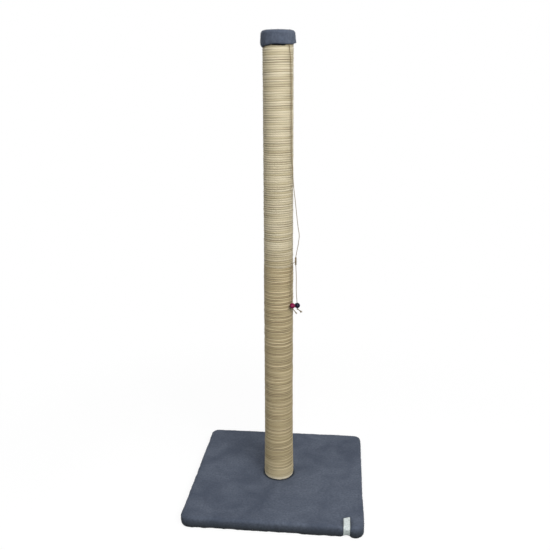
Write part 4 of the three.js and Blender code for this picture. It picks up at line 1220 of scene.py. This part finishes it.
def grid_normals(points):
    """Outward directions of a grid of points, from its own rows and columns."""
    along_a = np.gradient(points, axis=0)
    along_b = np.gradient(points, axis=1)
    normal = np.cross(along_a, along_b)
    return normal / np.maximum(np.linalg.norm(normal, axis=-1), 1e-12)[..., None]


def rough(points, wavelength, octaves=2):
    """Smooth random heights, about -1 to 1, at these points."""
    flat = points.reshape(-1, 3) / wavelength
    return np.array(
        [noise.fractal(p, 1.0, 2.0, octaves, noise_basis="PERLIN_ORIGINAL") for p in flat]
    ).reshape(points.shape[:-1])


def loosened(points):
    """The plush is slacker towards the front right corner and bulges past the ribbon, which lifts
    the lower edge and pulls it in, as it is drawn tight under the board."""
    moved = points.copy()
    x, y, z = points[..., 0], points[..., 1], points[..., 2]
    towards = smoothstep(x, 20 * MM, 200 * MM) * smoothstep(-y, 20 * MM, 200 * MM)
    slack = smoothstep(x, LABEL_X + 8 * MM, LABEL_X + 18 * MM) * smoothstep(-y, 175 * MM, 204 * MM)
    slack *= 1 - smoothstep(z, 14 * MM, 27 * MM)
    moved[..., 0] += 2.4 * MM * towards * smoothstep(x, 190 * MM, 204 * MM)
    moved[..., 1] -= (2.0 * MM * towards + 2.6 * MM * slack) * smoothstep(-y, 190 * MM, 204 * MM)
    near = np.exp(-(((x - LABEL_X) / (9 * MM)) ** 2)) * smoothstep(-y, 178 * MM, 196 * MM)
    moved[..., 1] += 2.4 * MM * near * (1 - smoothstep(z, 3 * MM, 20 * MM))
    moved[..., 2] += 3.0 * MM * near * (1 - smoothstep(z, 0, 14 * MM))
    return moved


def askew_end(side):
    """How far back the ribbon's upper end is, because it is cut askew."""
    return 0.45 * np.clip(side, -LABEL_WIDTH / 2, LABEL_WIDTH / 2)


def cover_relief(points, run):
    """How far the plush stands above its mean face: uneven all over and more so round its edge,
    squashed flat under the post and the ribbon, and swollen beside them."""
    x, y = points[..., 0], points[..., 1]
    relief = 0.5 * MM * rough(points, 70 * MM) + 0.3 * MM * rough(points, 14 * MM)
    relief += 0.22 * MM * rough(points, 4 * MM, 1)
    edge = smoothstep(run, 0, 10 * MM) * (1 - smoothstep(run, 36 * MM, 46 * MM))
    relief += edge * (0.9 * MM * rough(points + 1.0, 26 * MM) + 0.6 * MM * rough(points + 2.0, 8 * MM))

    reach = np.hypot(x, y)
    near_post_foot = 1 - smoothstep(reach, ROPE_RADIUS + 3 * MM, ROPE_RADIUS + 6 * MM)
    collar = np.exp(-(((reach - ROPE_RADIUS - 9 * MM) / (3.2 * MM)) ** 2))
    by_post = relief * (1 - near_post_foot) - 0.9 * MM * near_post_foot + 0.5 * MM * collar
    relief = np.where(run == 0, by_post, relief)

    off_label = np.abs(x - LABEL_X)
    at_label = (y < LABEL_TOP_END + 6 * MM) & (off_label < 25 * MM)
    pinch = 1 - smoothstep(off_label, LABEL_WIDTH / 2 + 0.4 * MM, LABEL_WIDTH / 2 + 3 * MM)
    cut = y - askew_end(x - LABEL_X)
    ends = smoothstep(-cut, -LABEL_TOP_END - 1.5 * MM, -LABEL_TOP_END + 1 * MM)
    shoulder = np.exp(-(((off_label - LABEL_WIDTH / 2 - 5 * MM) / (3 * MM)) ** 2))
    in_label = np.where(at_label, pinch * ends, 0)
    swollen = np.where(at_label, 0.5 * MM * shoulder * ends, 0)
    return relief * (1 - in_label) - 1.05 * MM * in_label + swollen


HOLE_REACH = 12 * MM  # the grid is stretched as far out as this to make the bolt's hole round


def open_bolt_hole(grid):
    """Moves the points round the very middle out on to the rim of the bolt's hole."""
    spot = grid[..., :2]
    distance = np.maximum(np.hypot(spot[..., 0], spot[..., 1]), 1e-9)
    stretch = (HOLE_REACH - BOLT_HOLE) / (HOLE_REACH - COVER_CELL)
    pushed = np.where(distance < HOLE_REACH, BOLT_HOLE + (distance - COVER_CELL) * stretch, distance)
    on_rim = np.maximum(np.abs(spot[..., 0]), np.abs(spot[..., 1])) < 1.5 * COVER_CELL
    pushed = np.where(on_rim, BOLT_HOLE, np.maximum(pushed, BOLT_HOLE))
    grid[..., :2] = spot / distance[..., None] * pushed[..., None]


def plush_base():
    """The plush over the board: an outer and an inner face, joined at the hem and round the hole."""
    points, run = cover_points()
    normal = grid_normals(points)
    for i in (0, -1):
        for j in (0, -1):
            normal[i, j] = (0, 0, -1)
    inner = points - normal * COVER_THICKNESS
    outer = loosened(points + normal * cover_relief(points, run)[..., None])
    outer[..., 2] = np.maximum(outer[..., 2], FLOOR_GAP)
    for grid in (inner, outer):
        open_bolt_hole(grid)

    size = len(points)
    count = size * size
    middle = size // 2
    centre = middle * size + middle
    quads = grid_faces(size, size)
    quads = quads[~(quads == centre).any(axis=1)]
    faces = [tuple(q) for q in quads] + [tuple(q[::-1] + count) for q in quads]
    faces += wall(grid_rim(size, size), count)
    hole_rim = [(-1, -1), (-1, 0), (-1, 1), (0, 1), (1, 1), (1, 0), (1, -1), (0, -1)]
    hole_loop = [centre + i * size + j for i, j in hole_rim]
    faces += [face[::-1] for face in wall(hole_loop, count)]
    all_points = np.vstack([outer.reshape(-1, 3), inner.reshape(-1, 3)])
    used = np.ones(len(all_points), bool)
    used[[centre, count + centre]] = False
    new_index = np.cumsum(used) - 1
    faces = [tuple(int(new_index[i]) for i in face) for face in faces]
    piece = mesh_piece("plush_base_cover", all_points[used], faces, PLUSH)
    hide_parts("base_cover")
    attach(piece, "stand")
    return piece


base_plush = plush_base()


def at_the_edge(x, y, z):
    """The plush's rounded edge and outer faces, clear of the ribbon."""
    on_side = max(abs(x), abs(y)) > FLAT_HALF - 2 * MM and z > 3 * MM
    return on_side and not (abs(x - LABEL_X) < LABEL_WIDTH / 2 + 1.5 * MM and y < 0)


scatter(
    "base_pile_fringe", host_of(base_plush, at_the_edge), "plush",
    Density=190000.0, Length=1.9 * MM, Thickness=0.3 * MM, Lean=0.8, Bend=0.3, Seed=2, Material=PLUSH,
)

# ---------------------------------------------------------------------------
# Ribbon label
# ---------------------------------------------------------------------------

RIBBON_THICKNESS = 0.45 * MM
RIBBON_SINK = 0.35 * MM  # how far it is pressed into the pile
RIBBON_STEP = 0.8 * MM


def ribbon_line():
    """(y, z) along the ribbon: from its upper end, over the edge and down, to its end underneath."""
    radius = COVER_ROUND - RIBBON_SINK
    bend_y = COVER_ROUND - COVER_HALF
    top_z, low_z = COVER_TOP - COVER_ROUND, COVER_ROUND
    quarter = np.linspace(0, math.pi / 2, 16)
    line = [(y, COVER_TOP - RIBBON_SINK) for y in np.arange(LABEL_TOP_END, bend_y, -RIBBON_STEP)]
    line += [(bend_y - radius * math.sin(t), top_z + radius * math.cos(t)) for t in quarter]
    line += [(bend_y - radius, z) for z in np.linspace(top_z, low_z, 17)[1:-1]]
    line += [(bend_y - radius * math.cos(t), low_z - radius * math.sin(t)) for t in quarter]
    line += [(y, RIBBON_SINK) for y in np.arange(bend_y + RIBBON_STEP, LABEL_UNDER_END, RIBBON_STEP)]
    return np.array(line)


def ribbon_label():
    """A blank ribbon folded over the front edge, with thicker selvedges, and a little wavy."""
    line = ribbon_line()
    way = np.gradient(line, axis=0)
    way /= np.linalg.norm(way, axis=1)[:, None]
    out = np.stack([way[:, 1], -way[:, 0]], axis=1)
    run = run_along(line)
    across = np.linspace(-LABEL_WIDTH / 2 + 0.3 * MM, LABEL_WIDTH / 2 - 0.5 * MM, 31)
    rows, columns = len(line), len(across)
    top, bottom = np.zeros((rows, columns, 3)), np.zeros((rows, columns, 3))
    for i in range(rows):
        for j, side in enumerate(across):
            ripple = 0.22 * MM * noise.noise(Vector((side / (6 * MM), run[i] / (7 * MM), 3.0)))
            curl = 0.25 * MM * (abs(side) / (LABEL_WIDTH / 2)) ** 6
            selvedge = 0.12 * MM * math.exp(-(((abs(side) - 6.9 * MM) / (0.35 * MM)) ** 2))
            x = LABEL_X + side + 0.35 * MM * math.sin(run[i] / (21 * MM))
            height = ripple - curl
            askew = askew_end(side) * max(0.0, 1 - run[i] / (12 * MM))
            for grid, lift in ((top, height + selvedge), (bottom, height - RIBBON_THICKNESS)):
                grid[i, j] = (x, line[i, 0] + askew + out[i, 0] * lift, line[i, 1] + out[i, 1] * lift)
    top, bottom = loosened(top), loosened(bottom)
    top[..., 2] = np.maximum(top[..., 2], FLOOR_GAP)
    count = rows * columns
    quads = grid_faces(rows, columns)
    faces = [tuple(q[::-1]) for q in quads] + [tuple(q + count) for q in quads]
    faces += [face[::-1] for face in wall(grid_rim(rows, columns), count)]
    uv = []
    for face in faces:
        for corner in face:
            row, column = divmod(corner % count, columns)
            uv.append((run[row], across[column]))
    points = np.vstack([top.reshape(-1, 3), bottom.reshape(-1, 3)])
    piece = mesh_piece("blank_ribbon", points, faces, RIBBON, uv)
    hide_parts("label")
    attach(piece, "stand")


ribbon_label()

# ---------------------------------------------------------------------------
# Plush cap
# ---------------------------------------------------------------------------


def hem_lift(angle):
    """How much higher than its mean the hem is: high on the right, low on the left and at the front."""
    front = np.exp(2.6 * (np.cos(angle + math.radians(92)) - 1))
    left = np.exp(5.0 * (np.cos(angle + math.radians(150)) - 1))
    wave = 2.0 * np.cos(angle + math.pi / 18) + 1.5 * np.cos(3 * (angle - math.pi / 10.6))
    return (wave - 0.8 * front - 1.6 * left) * MM


def hem_shade_drop(angle):
    """How far the black strip of painted shade shows below the pile: most at the front, in two
    stretches.
    """
    degrees = np.degrees(angle + np.pi) % 360 - 180
    main = smoothstep(degrees, -107, -102) * (1 - smoothstep(degrees, -61, -56))
    lesser = smoothstep(degrees, -130, -124) * (1 - smoothstep(degrees, -112, -108))
    ragged = 1 + 0.2 * np.cos(31 * angle) + 0.15 * np.cos(53 * angle + 1)
    return (2.2 * main + 1.1 * lesser) * ragged * MM


HEM_SHADE_EDGE = -24.01  # over the post's end, in mm


def cap_profile():
    """(radius, height over the post's end, inside?), in mm: out over the crown and its round edge,
    down the side, round the hem and the edge of the black strip of painted shade, and up and in
    over the inner face."""
    shoulder = np.linspace(0, math.pi / 2, 10)
    hem = np.linspace(0, math.pi / 2, 9)[1:]
    rows = [(r, 5.0, False) for r in np.arange(0.6, 29.4, 1.2)]
    rows += [(29.4 + 7 * math.sin(t), -2.0 + 7 * math.cos(t), False) for t in shoulder]
    rows += [(36.4 + 1.2 * t, -2 - 18.2 * t, False) for t in np.linspace(0, 1, 19)[1:]]
    rows += [(35.3 + 2.3 * math.cos(t), -20.2 - 3.8 * math.sin(t), False) for t in hem]
    rows += [(35.9, HEM_SHADE_EDGE, False), (34.9, HEM_SHADE_EDGE, True)]
    rows += [(34.4, -22.8, True)]
    rows += [(34.35, z, True) for z in np.linspace(-21.6, -5.7, 14)]
    rows += [(33.2, -3.6, True), (31.6, -1.4, True), (30.2, 0.3, True)]
    rows += [(r, 0.3, True) for r in np.arange(27, 0.5, -3)]
    return rows


CAP_SEGMENTS = 200
TWINE_ROOM = 1.25 * MM  # from the held twine's middle to the cap's inner face


def cap_row(angles, radius, height, is_inside):
    """The points of one row of the cap. Lower rows are gathered and follow the hem's waves. The
    outer face also swells over the twine and is tucked in on the far left."""
    towards_hem = float(np.clip((-height / 24 - 0.5) * 2, 0, 1))
    at_edge = height == HEM_SHADE_EDGE
    calm = is_inside or at_edge
    facing_toy = np.maximum(0, np.cos(angles - TOY_ANGLE))
    grow = (0 if calm else 1.0 * MM) * facing_toy * towards_hem
    gather = 0.45 * np.cos(9 * angles + 1.1) + 0.35 * np.cos(14 * angles + 0.3 + 0.2 * math.sin(height))
    side = smoothstep(-height, -3.0, 20.0)
    reach = radius * MM + grow + gather * MM * side * (0.15 if calm else 0.8)
    tuck = np.exp(3.0 * (np.cos(angles + math.radians(165)) - 1)) * smoothstep(-height, 16.5, 24.0)
    reach -= (0 if calm else 1.6 * MM) * tuck
    if is_inside and height < -6:
        reach = np.maximum(reach, ROPE_RADIUS + 0.25 * MM)
    level = POST_TOP + height * MM + hem_lift(angles) * towards_hem
    if at_edge:
        level -= hem_shade_drop(angles)
    return np.stack([np.cos(angles) * reach, np.sin(angles) * reach, level], axis=1)


def plush_cap():
    """The plush pulled over the post's end, with a black strip of painted shade at the hem's edge."""
    segments = CAP_SEGMENTS
    angles = 2 * np.pi * np.arange(segments) / segments
    rows = cap_profile()
    points = np.stack([cap_row(angles, *row) for row in rows])
    inside = np.array([r[2] for r in rows])
    wrapped = np.concatenate([points[:, -1:], points, points[:, :1]], axis=1)
    along_rows = np.gradient(wrapped, axis=0)[:, 1:-1]
    round_post = (wrapped[:, 2:] - wrapped[:, :-2]) / 2
    normal = np.cross(round_post, along_rows)
    normal /= np.maximum(np.linalg.norm(normal, axis=-1), 1e-12)[..., None]
    outward = np.sign((normal * (points - np.array([0, 0, POST_TOP - 12 * MM]))).sum(-1))[~inside].mean()
    normal *= 1.0 if outward > 0 else -1.0
    relief = 0.3 * MM * rough(points, 11 * MM) + 0.2 * MM * rough(points, 3.5 * MM, 1)
    points += normal * (relief * ~inside[:, None])[..., None]

    # the inner face gives way to the twine that it holds
    for i in np.flatnonzero(inside):
        for k in range(segments):
            gap = points[i, k] - held_line
            distance = np.linalg.norm(gap, axis=1)
            nearest = distance.argmin()
            if distance[nearest] < TWINE_ROOM:
                way = gap[nearest] / max(distance[nearest], 1e-6)
                points[i, k] = held_line[nearest] + way * TWINE_ROOM

    flat = points.reshape(-1, 3)
    count = len(flat)
    faces = ring_faces(len(rows), segments)
    crown, underside = count, count + 1
    flat = np.vstack([flat, points[0].mean(0), points[-1].mean(0)])
    base = (len(rows) - 1) * segments
    for k in range(segments):
        m = (k + 1) % segments
        faces.append((crown, k, m))
        faces.append((underside, base + m, base + k))
    piece = mesh_piece("plush_cap", flat, faces, PLUSH)
    # the black strip at the hem's edge is painted shade
    piece.data.materials.append(HEM_SHADE)
    edge_rows = [i for i, row in enumerate(rows) if row[1] == HEM_SHADE_EDGE]
    for index in range(edge_rows[0] * segments - segments, (edge_rows[1] + 1) * segments):
        piece.data.polygons[index].material_index = 1
    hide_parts("cap_cover")
    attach(piece, "stand")
    return piece


cap_plush = plush_cap()


def clear_of_twine(x, y, z):
    """The cap's outer face, except where the twine swings under its hem."""
    from_toy = abs(math.remainder(math.atan2(y, x) - TOY_ANGLE, 2 * math.pi))
    swept = z < POST_TOP - 15 * MM and from_toy < math.radians(35)
    return (math.hypot(x, y) > 36 * MM or z > POST_TOP + 4 * MM) and not swept


scatter(
    "cap_pile_fringe", host_of(cap_plush, clear_of_twine), "plush",
    Density=450000.0, Length=1.8 * MM, Thickness=0.3 * MM, Lean=0.8, Bend=0.3, Seed=4, Material=PLUSH,
)

# ---------------------------------------------------------------------------
# Floor, light and background
# ---------------------------------------------------------------------------

FLOOR_HALF = 4.0
FLOOR_SHADED = 0.45  # as far out as this the floor takes shadows in full
FLOOR_WHITE = 1.1  # and from here on it is plain white
FLOOR_GLOW = 0.88
AMBIENT = 0.29  # the white surround's strength, for all but what looks straight at it


def looked_at(tree):
    """1 where the camera, a reflection or a see-through path looks straight at the surface, else 0."""
    path = add(tree, "ShaderNodeLightPath")
    rays = {0: path.outputs["Is Camera Ray"], 1: path.outputs["Is Glossy Ray"]}
    seen = add(tree, MATH, rays, operation="MAXIMUM")
    return add(tree, MATH, {0: seen, 1: path.outputs["Is Transmission Ray"]}, operation="MAXIMUM")


def studio_floor():
    """Pale floor that reads as white to the camera and still takes the object's shadow."""
    material, tree = new_material("studio_floor")
    place = add(tree, "ShaderNodeTexCoord").outputs["Object"]
    away = add(tree, VECTOR, {0: place}, operation="LENGTH").outputs["Value"]
    fade = add(tree, RANGE, {"Value": away, 1: FLOOR_SHADED, 2: FLOOR_WHITE}, interpolation_type="SMOOTHSTEP")
    seen = looked_at(tree)
    glow = add(tree, MATH, {0: seen, 1: FLOOR_GLOW}, operation="MULTIPLY")
    lit = add(tree, "ShaderNodeBsdfDiffuse", {"Color": linear("#6e6e6e")})
    white = add(tree, "ShaderNodeEmission", {"Strength": glow})
    near = add(tree, "ShaderNodeAddShader", {0: lit, 1: white})
    far = add(tree, "ShaderNodeEmission", {"Strength": seen})
    mix = add(tree, "ShaderNodeMixShader", {0: fade, 1: near, 2: far})
    add(tree, OUTPUT, {"Surface": mix})
    corners = [(x * FLOOR_HALF, y * FLOOR_HALF, 0) for x, y in ((-1, -1), (1, -1), (1, 1), (-1, 1))]
    floor = mesh_piece("studio_floor", corners, [(0, 1, 2, 3)], material)


def white_world():
    """White to the camera and in reflections, but only a dim, even light on the object."""
    world = bpy.data.worlds.new("white_surround")
    bpy.context.scene.world = world
    world.use_nodes = True
    tree = world.node_tree
    tree.nodes.clear()
    ambient = add(tree, "ShaderNodeBackground", {"Color": (1, 1, 1, 1), "Strength": AMBIENT})
    backdrop = add(tree, "ShaderNodeBackground", {"Color": (1, 1, 1, 1), "Strength": 1.0})
    mix = add(tree, "ShaderNodeMixShader", {0: looked_at(tree), 1: ambient, 2: backdrop})
    add(tree, "ShaderNodeOutputWorld", {"Surface": mix})


def softbox(name, place, aim, size, energy):
    """A square white lamp of this width in metres and power in watts, turned towards aim."""
    data = bpy.data.lights.new(name, "AREA")
    data.shape = "SQUARE"
    data.size = size
    data.energy = energy
    lamp = bpy.data.objects.new(name, data)
    lamp.location = place
    lamp.rotation_euler = (Vector(aim) - Vector(place)).to_track_quat("-Z", "Y").to_euler()
    bpy.context.scene.collection.objects.link(lamp)


studio_floor()
white_world()
softbox("front", (0.75, -1.9, 1.9), aim=(0, 0, 0.55), size=1.6, energy=55)
softbox("key_right", (1.5, -1.1, 2.2), aim=(0, 0, 0.5), size=0.8, energy=7.5)
softbox("fill_high", (-1.1, -0.9, 1.75), aim=(0, 0, 1.3), size=0.5, energy=1.6)
softbox("low_back", (0.35, 2.4, 0.9), aim=(0, 0, 0.5), size=1.6, energy=7.5)
softbox("fill_left", (-1.4, -1.8, 1.9), aim=(0, 0, 0.3), size=0.8, energy=2)

bpy.context.scene.view_settings.view_transform = "Standard"
